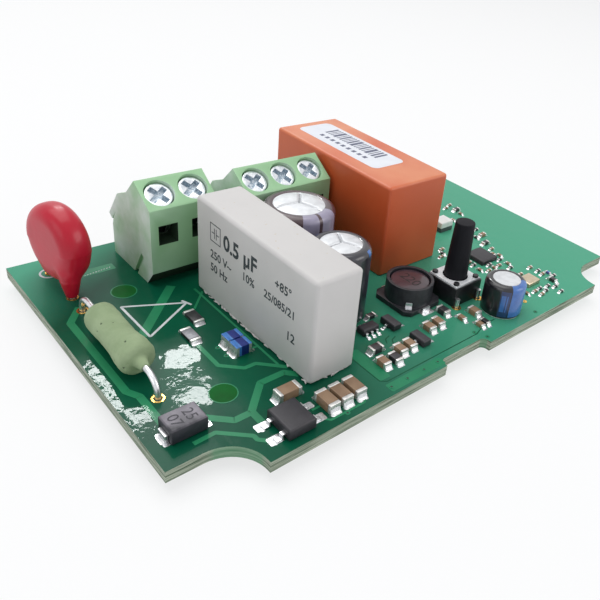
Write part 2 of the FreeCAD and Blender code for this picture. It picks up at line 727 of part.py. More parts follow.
def bent_lead(name, pad_y, side):
    """A lead that leaves the resistor level and bends down into its hole."""
    lead_holes.append(("resistor_x", pad_y, "resistor_lead_radius"))
    grip_y = f"resistor_middle_y + ({side}) * (resistor_length / 2 + resistor_neck_length - resistor_lead_grip)"
    bend_y = f"({pad_y}) - ({side}) * resistor_bend_radius"
    level = rod(name + "_level", "0", "0", "0", "resistor_lead_radius", f"({side}) * (({bend_y}) - ({grip_y}))")
    turn(level, (1, 0, 0), -90.0 * side)
    seat(level, "resistor_x", grip_y, "resistor_axis_height")
    bend = doc.addObject("Part::Torus", name + "_bend")
    bind(bend, Radius1="resistor_bend_radius", Radius2="resistor_lead_radius")
    bend.Angle3 = 90.0
    flat_to_upright = Rotation(Vector(0, 0, 1), -90.0 if side < 0 else 90.0).multiply(
        Rotation(Vector(1, 0, 0), 90.0))
    bend.Placement = FreeCAD.Placement(Vector(), flat_to_upright)
    seat(bend, "resistor_x", bend_y, "resistor_axis_height - resistor_bend_radius")
    drop = rod(name + "_drop", "0", "0", "0", "resistor_lead_radius",
               "resistor_axis_height - resistor_bend_radius + board_thickness + lead_drop")
    seat(drop, "resistor_x", pad_y, "0 - board_thickness - lead_drop")
    return fuse(name, level, bend, drop)


keep_as(group("resistor_lead_pair", bent_lead("resistor_front_lead", "resistor_front_pad_y", -1),
              bent_lead("resistor_rear_lead", "resistor_rear_pad_y", 1)), "power_resistor_leads")


# Electrolytic capacitors: an aluminium can in a printed sleeve, its mouth closed by
# a rubber bung over the wound element, with two leads.
can_sizes = {
    "can_wall": 0.25,
    "sleeve_thickness": 0.13,
    "sleeve_lip": 0.16,
    "bung_height": 1.3,
    "bung_sink": 0.25,
    "element_gap": 0.2,
    "element_end_gap": 0.5,
    "can_shoulder": 0.8,
    "can_shoulder_bulge": 0.24,
    "can_lead_radius": 0.3,
    "can_lead_reach": 1.2,
    "large_can_x": 33.9,
    "large_can_y": 29.4,
    "large_can_radius": 5.45,
    "large_can_height": 12.5,
    "large_can_disc": 3.85,
    "large_can_pitch": 5.0,
    "medium_can_x": 33.0,
    "medium_can_y": 18.4,
    "medium_can_radius": 4.35,
    "medium_can_height": 11.4,
    "medium_can_disc": 3.0,
    "medium_can_pitch": 3.5,
    "small_can_x": 55.2,
    "small_can_y": 4.9,
    "small_can_radius": 3.2,
    "small_can_height": 5.5,
    "small_can_disc": 2.15,
    "small_can_pitch": 2.5,
}
enter_sizes(can_sizes)
cans = []
bungs = []
elements = []
can_leads = []
for which in ("large", "medium", "small"):
    x = f"{which}_can_x"
    y = f"{which}_can_y"
    radius = f"({which}_can_radius - sleeve_thickness)"
    height = f"({which}_can_height - sleeve_thickness)"
    can = body(which + "_can")
    turned(can, [(f"{radius} - can_wall", "0"), (radius, "0"), (radius, f"{height} - can_shoulder"),
                 (f"{radius} - can_shoulder_bulge", f"{height} - can_shoulder_bulge"),
                 (f"{radius} - can_shoulder", height), ("0", height), ("0", f"{height} - can_wall"),
                 (f"{radius} - can_wall - can_shoulder", f"{height} - can_wall"),
                 (f"{radius} - can_wall", f"{height} - can_wall - can_shoulder")])
    cans.append(seat(can, x, y))
    sleeve = body(which + "_sleeve")
    outer = f"{which}_can_radius"
    top = f"{which}_can_height"
    turned(sleeve, [(radius, "sleeve_lip"), (outer, "sleeve_lip"), (outer, f"{top} - can_shoulder"),
                    (f"{outer} - can_shoulder_bulge", f"{top} - can_shoulder_bulge"),
                    (f"{outer} - can_shoulder", top), (f"{which}_can_disc", top),
                    (f"{which}_can_disc", height), (f"{radius} - can_shoulder", height),
                    (f"{radius} - can_shoulder_bulge", f"{height} - can_shoulder_bulge"),
                    (radius, f"{height} - can_shoulder")])
    keep_as(seat(sleeve, x, y), which + "_electrolytic_sleeve")
    bung = rod(which + "_bung", "0", "0", "0", f"{radius} - can_wall", "bung_height")
    element = rod(which + "_element", "0", "0", "0", f"{radius} - can_wall - element_gap",
                  f"{height} - can_wall - can_shoulder - bung_sink - bung_height - element_end_gap")
    elements.append(seat(element, x, y, "bung_sink + bung_height + 0.1"))
    pair = [lead_through(f"{which}_can_lead_{side}", f"{x} + {which}_can_pitch * {side}", y, "can_lead_radius",
                         "bung_sink + bung_height") for side in (-0.5, 0.5)]
    can_leads += pair
    bungs.append(cut(which + "_bung_drilled", seat(bung, x, y, "bung_sink"), *pair))
keep_as(group("can_set", *cans), "electrolytic_cans")
keep_as(group("bung_set", *bungs), "electrolytic_bungs")
keep_as(group("element_set", *elements), "electrolytic_elements")
keep_as(group("can_lead_set", *can_leads), "electrolytic_leads")


# Power inductor: a ferrite drum with its winding inside a ferrite shield on a
# square foot with cut corners, clipped by two tinned terminals.
inductor_sizes = {
    "inductor_x": 44.4,
    "inductor_y": 14.75,
    "inductor_foot_side": 7.7,
    "inductor_foot_corner": 0.9,
    "inductor_foot_thickness": 0.8,
    "inductor_height": 3.9,
    "inductor_radius": 3.65,
    "inductor_shield_wall": 0.5,
    "inductor_ring_gap": 0.2,
    "inductor_sink": 0.3,
    "inductor_flange": 0.6,
    "inductor_post_radius": 1.4,
    "inductor_clip_width": 1.5,
    "inductor_clip_thickness": 0.25,
    "inductor_clip_height": 1.7,
}
enter_sizes(inductor_sizes)
foot = body("inductor_foot")
side = "inductor_foot_side / 2"
nick = "inductor_foot_corner"
foot_points = [(f"0 - {side} + {nick}", f"0 - {side}"), (f"{side} - {nick}", f"0 - {side}"),
               (side, f"0 - {side} + {nick}"), (side, f"{side} - {nick}"), (f"{side} - {nick}", side),
               (f"0 - {side} + {nick}", side), (f"0 - {side}", f"{side} - {nick}"),
               (f"0 - {side}", f"0 - {side} + {nick}")]
pad(foot, outline(foot, "XY_Plane", foot_points), "inductor_foot_thickness")
seat(foot, "inductor_x", "inductor_y")
shield = body("inductor_shield_ring")
shield_inner = "(inductor_radius - inductor_shield_wall)"
turned(shield, [(shield_inner, "inductor_foot_thickness"), ("inductor_radius", "inductor_foot_thickness"),
                ("inductor_radius", "inductor_height"), (shield_inner, "inductor_height")])
seat(shield, "inductor_x", "inductor_y")
keep_as(fuse("inductor_shield", foot, shield), "inductor_shield")
drum = body("inductor_drum")
drum_radius = f"({shield_inner} - inductor_ring_gap)"
drum_top = "(inductor_height - inductor_sink)"
turned(drum, [("0", "inductor_foot_thickness"), (drum_radius, "inductor_foot_thickness"),
              (drum_radius, "inductor_foot_thickness + inductor_flange"),
              ("inductor_post_radius", "inductor_foot_thickness + inductor_flange"),
              ("inductor_post_radius", f"{drum_top} - inductor_flange"),
              (drum_radius, f"{drum_top} - inductor_flange"), (drum_radius, drum_top), ("0", drum_top)])
keep_as(seat(drum, "inductor_x", "inductor_y"), "inductor_core")
turns = body("inductor_turns")
turns_low = "inductor_foot_thickness + inductor_flange"
turned(turns, [("inductor_post_radius", turns_low), (f"{drum_radius} - 0.1", turns_low),
               (f"{drum_radius} - 0.1", f"{drum_top} - inductor_flange"),
               ("inductor_post_radius", f"{drum_top} - inductor_flange")])
keep_as(seat(turns, "inductor_x", "inductor_y"), "inductor_winding")
clips = []
for side_sign in (-1, 1):
    face_y = f"inductor_y + ({side_sign}) * (inductor_foot_side / 2)"
    low_y = f"{face_y} - inductor_clip_thickness" if side_sign < 0 else face_y
    clip = box(f"inductor_clip_{side_sign + 1}", "0", "0", "0", "inductor_clip_width",
               "inductor_clip_thickness", "inductor_foot_thickness")
    clips.append(seat(clip, "inductor_x - inductor_clip_width / 2", low_y))
keep_as(group("inductor_clips", *clips), "inductor_terminals")


# Push switch: a square housing with a steel cover plate held by four pegs, a snap dome
# and a long tapered plunger that goes down a quarter of a millimetre.
switch_sizes = {
    "switch_x": 51.8,
    "switch_y": 12.1,
    "switch_side": 6.0,
    "switch_height": 3.5,
    "switch_floor": 1.0,
    "switch_bore_radius": 2.45,
    "switch_plate_thickness": 0.3,
    "switch_plate_side": 5.6,
    "switch_plate_hole": 2.0,
    "switch_peg_radius": 0.45,
    "switch_peg_place": 2.25,
    "switch_peg_rise": 0.35,
    "plunger_foot_radius": 1.85,
    "plunger_tip_radius": 1.5,
    "plunger_top": 12.75,
    "plunger_collar_radius": 2.35,
    "plunger_collar_height": 0.7,
    "plunger_play": 0.05,
    "dome_radius": 2.2,
    "dome_rise": 0.45,
    "dome_thickness": 0.12,
    "switch_leg_pitch_x": 5.0,
    "switch_leg_pitch_y": 6.5,
    "switch_leg_radius": 0.35,
    "switch_leg_top": 1.6,
}
enter_sizes(switch_sizes)
plate_foot = "(switch_height - switch_plate_thickness)"
shell = body("switch_moulding")
half = "switch_side / 2"
block(shell, "switch_side", "switch_side", plate_foot, f"0 - {half}", f"0 - {half}")
seat(shell, "switch_x", "switch_y")
well = seat(rod("switch_well", "0", "0", "0", "switch_bore_radius", "switch_height"), "switch_x", "switch_y",
            "switch_floor")
pegs = []
for step_x in (-1, 1):
    for step_y in (-1, 1):
        peg = rod(f"switch_peg_{step_x + 1}{step_y + 1}", "0", "0", "0", "switch_peg_radius",
                  "switch_plate_thickness + switch_peg_rise + 0.2")
        pegs.append(seat(peg, f"switch_x + ({step_x}) * switch_peg_place",
                         f"switch_y + ({step_y}) * switch_peg_place", f"{plate_foot} - 0.2"))
keep_as(fuse("switch_housing", cut("switch_shell", shell, well), *pegs), "switch_housing")
plate = box("switch_plate", "0", "0", "0", "switch_plate_side", "switch_plate_side", "switch_plate_thickness")
seat(plate, "switch_x - switch_plate_side / 2", "switch_y - switch_plate_side / 2", plate_foot)
plate_hole = seat(rod("switch_plate_hole", "0", "0", "0", "switch_plate_hole", "2"), "switch_x", "switch_y",
                  f"{plate_foot} - 1")
keep_as(cut("switch_cover_plate", plate, plate_hole, *pegs), "switch_cover_plate")
plunger = body("switch_plunger_moulding")
collar_top = f"({plate_foot} - plunger_play)"
collar_foot = f"({collar_top} - plunger_collar_height)"
dome_top = "(switch_floor + dome_rise)"
turned(plunger, [("0", f"{dome_top} + 0.02"), ("0.6", f"{dome_top} + 0.02"), ("0.6", collar_foot),
                 ("plunger_collar_radius", collar_foot), ("plunger_collar_radius", collar_top),
                 ("plunger_foot_radius", collar_top), ("plunger_foot_radius", "switch_height + 0.6"),
                 ("plunger_tip_radius", "plunger_top"), ("0", "plunger_top")])
keep_as(seat(plunger, "switch_x", "switch_y"), "switch_plunger")
dome = body("switch_dome_disc")
turned(dome, [("0", f"{dome_top} - dome_thickness"), ("dome_radius - 0.3", "switch_floor"),
              ("dome_radius", "switch_floor"), ("dome_radius", "switch_floor + dome_thickness"),
              ("dome_radius * 0.5", f"{dome_top} - dome_thickness * 0.5"), ("0", dome_top)])
keep_as(seat(dome, "switch_x", "switch_y"), "switch_dome")
switch_legs = [lead_through(f"switch_leg_{step_x}_{step_y}", f"switch_x + switch_leg_pitch_x * {step_x}",
                            f"switch_y + switch_leg_pitch_y * {step_y}", "switch_leg_radius", "switch_leg_top")
               for step_x in (-0.5, 0.5) for step_y in (-0.5, 0.5)]
keep_as(cut("switch_leg_fit", group("switch_leg_set", *switch_legs), shell), "switch_legs")


# Flat-lead packages: a diode, a bridge rectifier and small chips with bent leads.
package_sizes = {
    "diode_x": 4.4,
    "diode_y": 9.6,
    "diode_length": 4.3,
    "diode_width": 3.1,
    "diode_height": 1.9,
    "diode_lift": 0.15,
    "diode_tab_width": 1.6,
    "diode_tab_reach": 0.45,
    "diode_tab_thickness": 0.2,
    "bridge_x": 14.45,
    "bridge_y": 3.4,
    "bridge_length": 3.75,
    "bridge_width": 4.45,
    "bridge_height": 1.45,
    "bridge_lift": 0.15,
    "bridge_lead_pitch": 2.5,
    "bridge_lead_width": 0.65,
    "bridge_lead_reach": 1.2,
    "lead_sheet": 0.2,
    "package_edge": 0.25,
    "six_lead_x": 33.7,
    "six_lead_y": 11.9,
    "three_lead_x": 37.4,
    "three_lead_y": 11.1,
    "three_lead_two_x": 38.3,
    "three_lead_two_y": 6.0,
    "small_package_length": 2.9,
    "small_package_width": 1.5,
    "small_package_height": 1.0,
    "small_package_lift": 0.1,
    "small_lead_pitch": 0.95,
    "small_lead_width": 0.4,
    "small_lead_reach": 0.65,
    "small_lead_sheet": 0.15,
    "controller_x": 65.0,
    "controller_y": 17.0,
    "controller_side": 4.0,
    "controller_height": 0.85,
    "crystal_x": 65.8,
    "crystal_y": 7.2,
    "crystal_length": 3.2,
    "crystal_width": 2.5,
    "crystal_height": 0.8,
    "led_x": 67.1,
    "led_y": 28.6,
    "led_length": 3.2,
    "led_width": 2.6,
    "led_height": 2.0,
}
enter_sizes(package_sizes)


def package(name, x, y, z, length, width, height):
    """A moulded block, given by its middle, with its top edges cut back all round."""
    owner = body(name)
    block(owner, length, width, height, f"0 - ({length}) / 2", f"0 - ({width}) / 2")
    tip = owner.Tip
    top = max(vertex.Z for vertex in tip.Shape.Vertexes)
    names = [f"Edge{number}" for number, edge in enumerate(tip.Shape.Edges, 1)
             if min(vertex.Z for vertex in edge.Vertexes) > top - 1e-6]
    slope = owner.newObject("PartDesign::Chamfer", name + "_slope")
    slope.Base = (tip, names)
    bind(slope, Size="package_edge * 0.6")
    doc.recompute()
    return seat(owner, x, y, z)


def gull_lead(name, x, y, axis, sign, width, reach, thickness, height):
    """A flat lead out of a package's side, down and out again on its pad."""
    along_x = axis == "x"
    parts = []
    runs = ((f"0", "0", f"({reach}) * 0.45", height), (f"({reach}) * 0.45 - ({thickness})", "drop", thickness, height),
            (f"({reach}) * 0.45 - ({thickness})", "foot", f"({reach}) * 0.55 + ({thickness})", "0"))
    for number, (start, kind, span, level) in enumerate(runs):
        low = level if kind == "0" else "0"
        tall = f"({height}) + ({thickness})" if kind == "drop" else thickness
        first = f"({sign}) * ({start})" if sign > 0 else f"0 - ({start}) - ({span})"
        side = f"0 - ({width}) / 2"
        corner = (first, side, low) if along_x else (side, first, low)
        spans = (span, width, tall) if along_x else (width, span, tall)
        parts.append(box(f"{name}_{number}", *corner, *spans))
    return seat(fuse(name, *parts), x, y)


keep_as(package("diode_block", "diode_x", "diode_y", "diode_lift", "diode_length", "diode_width",
                "diode_height"), "diode_body")
tabs = []
for sign in (-1, 1):
    inner = f"diode_x + ({sign}) * diode_length / 2"
    tab_left = f"{inner} - diode_tab_reach" if sign < 0 else inner
    tab = box(f"diode_tab_{sign + 1}", "0", "0", "0", "diode_tab_reach", "diode_tab_width",
              "diode_height * 0.55")
    tabs.append(seat(tab, tab_left, "diode_y - diode_tab_width / 2"))
keep_as(group("diode_tab_pair", *tabs), "diode_tabs")

keep_as(package("bridge_block", "bridge_x", "bridge_y", "bridge_lift", "bridge_length", "bridge_width",
                "bridge_height"), "bridge_body")
package_leads = []
for sign in (-1, 1):
    for step in (-0.5, 0.5):
        package_leads.append(gull_lead(f"bridge_lead_{sign + 1}_{step}",
                                       f"bridge_x + ({sign}) * bridge_length / 2",
                                       f"bridge_y + bridge_lead_pitch * {step}", "x", sign, "bridge_lead_width",
                                       "bridge_lead_reach", "lead_sheet", "bridge_height * 0.45"))
small_blocks = [
    package("six_lead_block", "six_lead_x", "six_lead_y", "small_package_lift", "small_package_length",
            "small_package_width", "small_package_height"),
    package("three_lead_block", "three_lead_x", "three_lead_y", "small_package_lift", "small_package_width",
            "small_package_length", "small_package_height"),
    package("three_lead_two_block", "three_lead_two_x", "three_lead_two_y", "small_package_lift",
            "small_package_width", "small_package_length", "small_package_height"),
    package("controller_block", "controller_x", "controller_y", "0", "controller_side", "controller_side",
            "controller_height"),
]
small_lead = ("small_lead_width", "small_lead_reach", "small_lead_sheet", "small_package_height * 0.4")
for sign in (-1, 1):
    for step in (-1, 0, 1):
        package_leads.append(gull_lead(f"six_lead_{sign + 1}_{step + 1}", f"six_lead_x + small_lead_pitch * ({step})",
                                       f"six_lead_y + ({sign}) * small_package_width / 2", "y", sign, *small_lead))
for which in ("three_lead", "three_lead_two"):
    for sign, step in ((1, -1), (1, 1), (-1, 0)):
        package_leads.append(gull_lead(f"{which}_{sign + 1}_{step + 1}",
                                       f"{which}_x + ({sign}) * small_package_width / 2",
                                       f"{which}_y + small_lead_pitch * ({step})", "x", sign, *small_lead))
keep_as(group("small_package_set", *small_blocks), "small_packages")
keep_as(group("package_lead_set", *package_leads), "package_leads")
keep_as(package("crystal_can", "crystal_x", "crystal_y", "0", "crystal_length", "crystal_width",
                "crystal_height"), "crystal")
keep_as(package("led_block", "led_x", "led_y", "0", "led_length", "led_width", "led_height"), "indicator_led")


# Chip parts: ceramic capacitors, resistors and blue chip inductors, each a block
# between two metal ends. A letter says along which board edge the chip lies.
chip_sizes = {
    "chip_large_length": 3.2,
    "chip_large_width": 1.6,
    "chip_large_height": 1.3,
    "chip_large_end": 0.5,
    "chip_medium_length": 2.0,
    "chip_medium_width": 1.25,
    "chip_medium_height": 0.9,
    "chip_medium_end": 0.38,
    "chip_small_length": 1.5,
    "chip_small_width": 0.8,
    "chip_small_height": 0.6,
    "chip_small_end": 0.28,
    "chip_tiny_length": 1.0,
    "chip_tiny_width": 0.5,
    "chip_tiny_height": 0.4,
    "chip_tiny_end": 0.22,
    "chip_flat_length": 3.1,
    "chip_flat_width": 1.5,
    "chip_flat_height": 0.55,
    "chip_flat_end": 0.42,
    "chip_blue_length": 2.3,
    "chip_blue_width": 1.8,
    "chip_blue_height": 1.5,
    "chip_blue_end": 0.45,
}
enter_sizes(chip_sizes)
ceramic_chips = [
    ("large", 16.8, 7.5, "x"), ("large", 19.7, 3.5, "y"), ("large", 21.75, 3.5, "y"),
    ("large", 23.9, 3.5, "y"), ("medium", 30.5, 5.2, "y"), ("medium", 34.3, 5.9, "y"),
    ("medium", 36.2, 6.0, "y"), ("medium", 41.5, 7.3, "y"), ("medium", 43.5, 7.4, "y"),
    ("medium", 50.4, 6.2, "y"), ("small", 47.6, 6.3, "y"), ("small", 48.7, 3.6, "y"),
    ("small", 71.8, 22.4, "x"), ("tiny", 70.0, 9.9, "x"), ("tiny", 68.6, 15.6, "y"),
    ("tiny", 69.2, 18.0, "x"), ("tiny", 61.4, 14.2, "y"), ("tiny", 62.6, 13.2, "x"),
    ("tiny", 65.6, 13.4, "x"), ("tiny", 67.6, 12.9, "y"), ("tiny", 64.2, 4.6, "x"),
    ("tiny", 62.4, 5.0, "y"), ("tiny", 75.2, 30.8, "y"), ("tiny", 74.4, 34.1, "x"),
    ("tiny", 76.1, 34.7, "x"), ("tiny", 71.6, 29.6, "y"), ("tiny", 67.9, 16.6, "y"),
    ("tiny", 64.2, 13.3, "y"), ("tiny", 61.7, 16.9, "x"), ("tiny", 70.1, 7.3, "x"),
    ("tiny", 66.5, 9.4, "x"), ("tiny", 64.5, 3.4, "x"), ("tiny", 60.9, 22.7, "x"),
    ("tiny", 58.9, 20.9, "x"),
]
resistor_chips = [
    ("flat", 15.6, 27.5, "y"), ("flat", 13.2, 24.1, "y"), ("medium", 31.6, 7.9, "x"),
    ("medium", 32.4, 4.9, "y"), ("medium", 46.4, 9.0, "y"), ("small", 36.3, 14.2, "x"),
    ("small", 49.9, 3.6, "y"), ("small", 69.8, 20.0, "x"), ("tiny", 70.3, 8.4, "x"),
    ("small", 69.9, 5.0, "y"), ("tiny", 68.6, 3.6, "x"), ("tiny", 63.6, 12.2, "y"),
    ("tiny", 66.8, 11.8, "x"), ("tiny", 61.0, 18.6, "y"), ("tiny", 72.6, 24.6, "x"),
    ("tiny", 73.8, 28.6, "y"), ("small", 75.6, 32.4, "x"), ("tiny", 60.6, 8.8, "x"),
    ("tiny", 70.4, 26.8, "x"), ("tiny", 70.1, 22.4, "y"), ("tiny", 67.4, 14.65, "x"),
    ("tiny", 64.2, 14.45, "x"), ("tiny", 61.7, 15.9, "x"), ("tiny", 71.4, 5.9, "x"),
    ("tiny", 67.5, 4.4, "x"), ("tiny", 68.1, 2.1, "x"), ("tiny", 65.6, 4.7, "x"),
    ("tiny", 66.0, 3.7, "x"), ("tiny", 59.9, 21.5, "y"),
]
blue_chips = [("blue", 16.9, 17.9, "x"), ("blue", 16.9, 19.9, "x"), ("tiny", 71.4, 7.0, "y")]
chip_ends = []


def chip(name, style, x, y, along):
    """The block of one chip between its ends; the two ends join the list of ends."""
    length = f"chip_{style}_length"
    width = f"chip_{style}_width"
    height = f"chip_{style}_height"
    end = f"chip_{style}_end"
    middle = f"{length} - 2 * {end}"
    spans = (middle, width, height) if along == "x" else (width, middle, height)
    core = box(name, "0", "0", "0", *spans)
    seat(core, f"{x} - ({spans[0]}) / 2", f"{y} - ({spans[1]}) / 2")
    for sign in (-1, 1):
        low = f"0 - {length} / 2" if sign < 0 else f"{length} / 2 - {end}"
        cap_spans = (end, width, height) if along == "x" else (width, end, height)
        cap = box(f"{name}_end_{sign + 1}", "0", "0", "0", *cap_spans)
        corner_x = f"{x} + {low}" if along == "x" else f"{x} - {width} / 2"
        corner_y = f"{y} - {width} / 2" if along == "x" else f"{y} + {low}"
        chip_ends.append(seat(cap, corner_x, corner_y))
    return core


for label, chips in (("ceramic_capacitors", ceramic_chips), ("chip_resistors", resistor_chips),
                     ("blue_chips", blue_chips)):
    blocks = [chip(f"{label}_{number}", *row) for number, row in enumerate(chips)]
    keep_as(group(label + "_set", *blocks), label)
keep_as(group("chip_end_set", *chip_ends), "chip_ends")


# The laminate itself, drilled for every lead, and a cone of solder under each lead.
solder_sizes = {
    "solder_radius": 0.75,
    "solder_height": 1.0,
}
enter_sizes(solder_sizes)
board = body("circuit_board_laminate")
right_notch = "board_length - right_notch_length"
recess_end = "recess_start + recess_length"
pad(board, outline(board, "XY_Plane", [
    ("left_notch_length", "0"), ("recess_start", "0"), ("recess_start", "recess_depth"),
    (recess_end, "recess_depth"), (recess_end, "0"), (right_notch, "0"),
    (right_notch, "right_notch_depth"), ("board_length", "right_notch_depth"),
    ("board_length", "board_width"), ("0", "board_width"), ("0", "left_notch_depth"),
    ("left_notch_length", "left_notch_depth")]), "board_thickness")


def standing_at(places):
    """A test for upright edges that stand at given places."""
    def test(middle, edge):
        return upright(edge) and any(math.hypot(middle.x - x, middle.y - y) < 0.01 for x, y in places)
    return test


round_edges(board, "notch_radius", standing_at([
    (size["left_notch_length"], size["left_notch_depth"]),
    (size["board_length"] - size["right_notch_length"], size["right_notch_depth"])]))
round_edges(board, "recess_corner", standing_at([
    (size["recess_start"], size["recess_depth"]),
    (size["recess_start"] + size["recess_length"], size["recess_depth"])]))
drilled = [(x, y, f"{radius} + lead_hole_gap") for x, y, radius in lead_holes]
pocket_up(board, circles(board, "XY_Plane", drilled), "board_thickness + 1")
keep_as(seat(board, "0", "0", "0 - board_thickness"), "circuit_board")

joints = []
for number, (x, y, radius) in enumerate(lead_holes):
    joint = cone(f"solder_cone_{number}", "0", "0", "0", f"{radius} + 0.12", f"{radius} + solder_radius",
                 "solder_height")
    seat(joint, x, y, "0 - board_thickness - solder_height")
    eye = rod(f"solder_eye_{number}", "0", "0", "0", radius, "solder_height + 2")
    seat(eye, x, y, "0 - board_thickness - solder_height - 1")
    joints.append(cut(f"solder_joint_{number}", joint, eye))
keep_as(group("solder_joint_set", *joints), "solder_joints")


# Every object has to be sound before the sub-parts are written.
doc.recompute()
for item in doc.Objects:
    if "Invalid" in item.State or "Error" in item.State:
        raise RuntimeError(f"{item.Name} is not valid: {item.State}")
os.makedirs("parts", exist_ok=True)
for piece in pieces:
    shape = piece.Shape
    if shape.isNull() or not shape.isValid() or not shape.Solids:
        raise RuntimeError(f"{piece.Label} has no sound solid")
    shape.exportStep(f"parts/{piece.Label}.step")
print(len(pieces), "sub-parts written")
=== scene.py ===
import bpy
import bmesh
import math
import random
from mathutils import Matrix, Vector, noise


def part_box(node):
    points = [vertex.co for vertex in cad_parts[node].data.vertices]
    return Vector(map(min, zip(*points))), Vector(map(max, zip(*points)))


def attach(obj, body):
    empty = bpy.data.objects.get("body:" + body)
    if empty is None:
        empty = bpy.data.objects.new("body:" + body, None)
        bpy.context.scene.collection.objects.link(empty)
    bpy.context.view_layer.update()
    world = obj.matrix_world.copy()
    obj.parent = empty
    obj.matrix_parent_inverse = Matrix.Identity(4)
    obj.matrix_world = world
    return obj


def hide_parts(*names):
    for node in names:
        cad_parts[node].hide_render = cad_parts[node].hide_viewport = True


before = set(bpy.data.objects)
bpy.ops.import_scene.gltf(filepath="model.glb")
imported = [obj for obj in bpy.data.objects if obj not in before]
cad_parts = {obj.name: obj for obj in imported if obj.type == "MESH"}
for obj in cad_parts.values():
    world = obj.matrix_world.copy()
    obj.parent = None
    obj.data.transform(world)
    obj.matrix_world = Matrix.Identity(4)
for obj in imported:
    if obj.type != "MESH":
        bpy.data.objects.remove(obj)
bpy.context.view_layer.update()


# Bench and studio.
# The board lies on a pale sweep under one large overhead softbox with a fill lamp on either
# side, seen from above its front left corner; small panes give the resist its glare.
MM = 0.001
BOARD_LENGTH = 86.0
BOARD_WIDTH = 52.5
BOARD_TOP = 3.2


def spot(x, y, z=0.0):
    """A place in metres from millimetres along the board, across it and above its top face."""
    return Vector(((x - BOARD_LENGTH / 2) * MM, (y - BOARD_WIDTH / 2) * MM, (z + BOARD_TOP) * MM))


def shade(red, green, blue):
    """A colour given as it looks on screen, from 0 to 255."""
    def light(value):
        value /= 255.0
        return value / 12.92 if value <= 0.04045 else ((value + 0.055) / 1.055) ** 2.4
    return (light(red), light(green), light(blue), 1.0)


def placed(name, data):
    """An object in the scene that holds a mesh, a text, a lamp or the camera."""
    holder = bpy.data.objects.new(name, data)
    bpy.context.collection.objects.link(holder)
    return holder


def feed(tree, node, feeds):
    """Feed a node's inputs, each from another node's output or with a fixed value."""
    for name, origin in feeds.items():
        if isinstance(origin, bpy.types.NodeSocket):
            tree.links.new(origin, node.inputs[name])
        else:
            node.inputs[name].default_value = origin
    return node


def add_node(tree, kind, feeds, **settings):
    """A new node of a tree, with its settings made and its inputs fed."""
    node = tree.nodes.new(kind)
    for name, value in settings.items():
        setattr(node, name, value)
    return feed(tree, node, feeds)


def worked_out(tree, operation, *values, **settings):
    """A number worked out from others."""
    return add_node(tree, "ShaderNodeMath", dict(enumerate(values)), operation=operation,
                    **settings).outputs[0]


def shown_white(tree):
    """One where the camera or a mirror image looks, and nought where light is gathered."""
    rays = add_node(tree, "ShaderNodeLightPath", {}).outputs
    direct = worked_out(tree, "MAXIMUM", rays["Is Camera Ray"], rays["Is Glossy Ray"])
    return worked_out(tree, "MAXIMUM", direct, rays["Is Transmission Ray"])


def new_material(name):
    """A material and its tree of nodes."""
    material = bpy.data.materials.new(name)
    material.use_nodes = True
    return material, material.node_tree


ROOM_LIGHT = 0.5
FLOOR_REACH = 3.0
FLOOR_WHITENESS = 0.72
world = bpy.data.worlds.new("studio")
bpy.context.scene.world = world
world.use_nodes = True
sky = world.node_tree
room = feed(sky, sky.nodes["Background"], {"Color": shade(236, 240, 246), "Strength": ROOM_LIGHT})
seen = add_node(sky, "ShaderNodeBackground", {"Color": (1.0, 1.0, 1.0, 1.0), "Strength": 1.0})
backdrop = add_node(sky, "ShaderNodeMixShader", {"Fac": shown_white(sky), 1: room.outputs["Background"],
                                                 2: seen.outputs["Background"]})
feed(sky, sky.nodes["World Output"], {"Surface": backdrop.outputs["Shader"]})

FLOOR_CORNERS = ((-1, -1), (1, -1), (1, 1), (-1, 1))
floor_mesh = bpy.data.meshes.new("floor")
floor_mesh.from_pydata([(x * FLOOR_REACH, y * FLOOR_REACH, 0) for x, y in FLOOR_CORNERS], [], [(0, 1, 2, 3)])
floor = placed("floor", floor_mesh)
paper, sheet = new_material("white_sweep")
matt = feed(sheet, sheet.nodes["Principled BSDF"], {"Base Color": shade(246, 247, 248), "Roughness": 0.8})
glow = add_node(sheet, "ShaderNodeEmission", {"Strength": 1.0})
whitened = worked_out(sheet, "MULTIPLY", shown_white(sheet), FLOOR_WHITENESS)
sweep = add_node(sheet, "ShaderNodeMixShader", {"Fac": whitened, 1: matt.outputs["BSDF"],
                                                2: glow.outputs["Emission"]})
feed(sheet, sheet.nodes["Material Output"], {"Surface": sweep.outputs["Shader"]})
floor.data.materials.append(paper)


def softbox(name, where, towards, width, height, watts, colour):
    """A rectangular lamp at a place, facing another."""
    lamp = bpy.data.lights.new(name, "AREA")
    lamp.shape = "RECTANGLE"
    lamp.size = width
    lamp.size_y = height
    lamp.energy = watts
    lamp.color = colour
    stand = placed(name, lamp)
    stand.location = where
    stand.rotation_mode = "QUATERNION"
    stand.rotation_quaternion = (Vector(towards) - Vector(where)).to_track_quat("-Z", "Y")
    return stand


softbox("overhead_box", (-0.02, 0.12, 0.42), (0.0, 0.0, 0.0), 0.40, 0.40, 1.1, (1.0, 0.99, 0.97))
softbox("left_fill", (-0.45, -0.05, 0.22), (0.0, 0.0, 0.01), 0.35, 0.25, 0.3, (0.96, 0.98, 1.0))
softbox("right_fill", (0.30, -0.40, 0.25), (0.0, 0.0, 0.01), 0.30, 0.25, 0.75, (1.0, 0.98, 0.96))

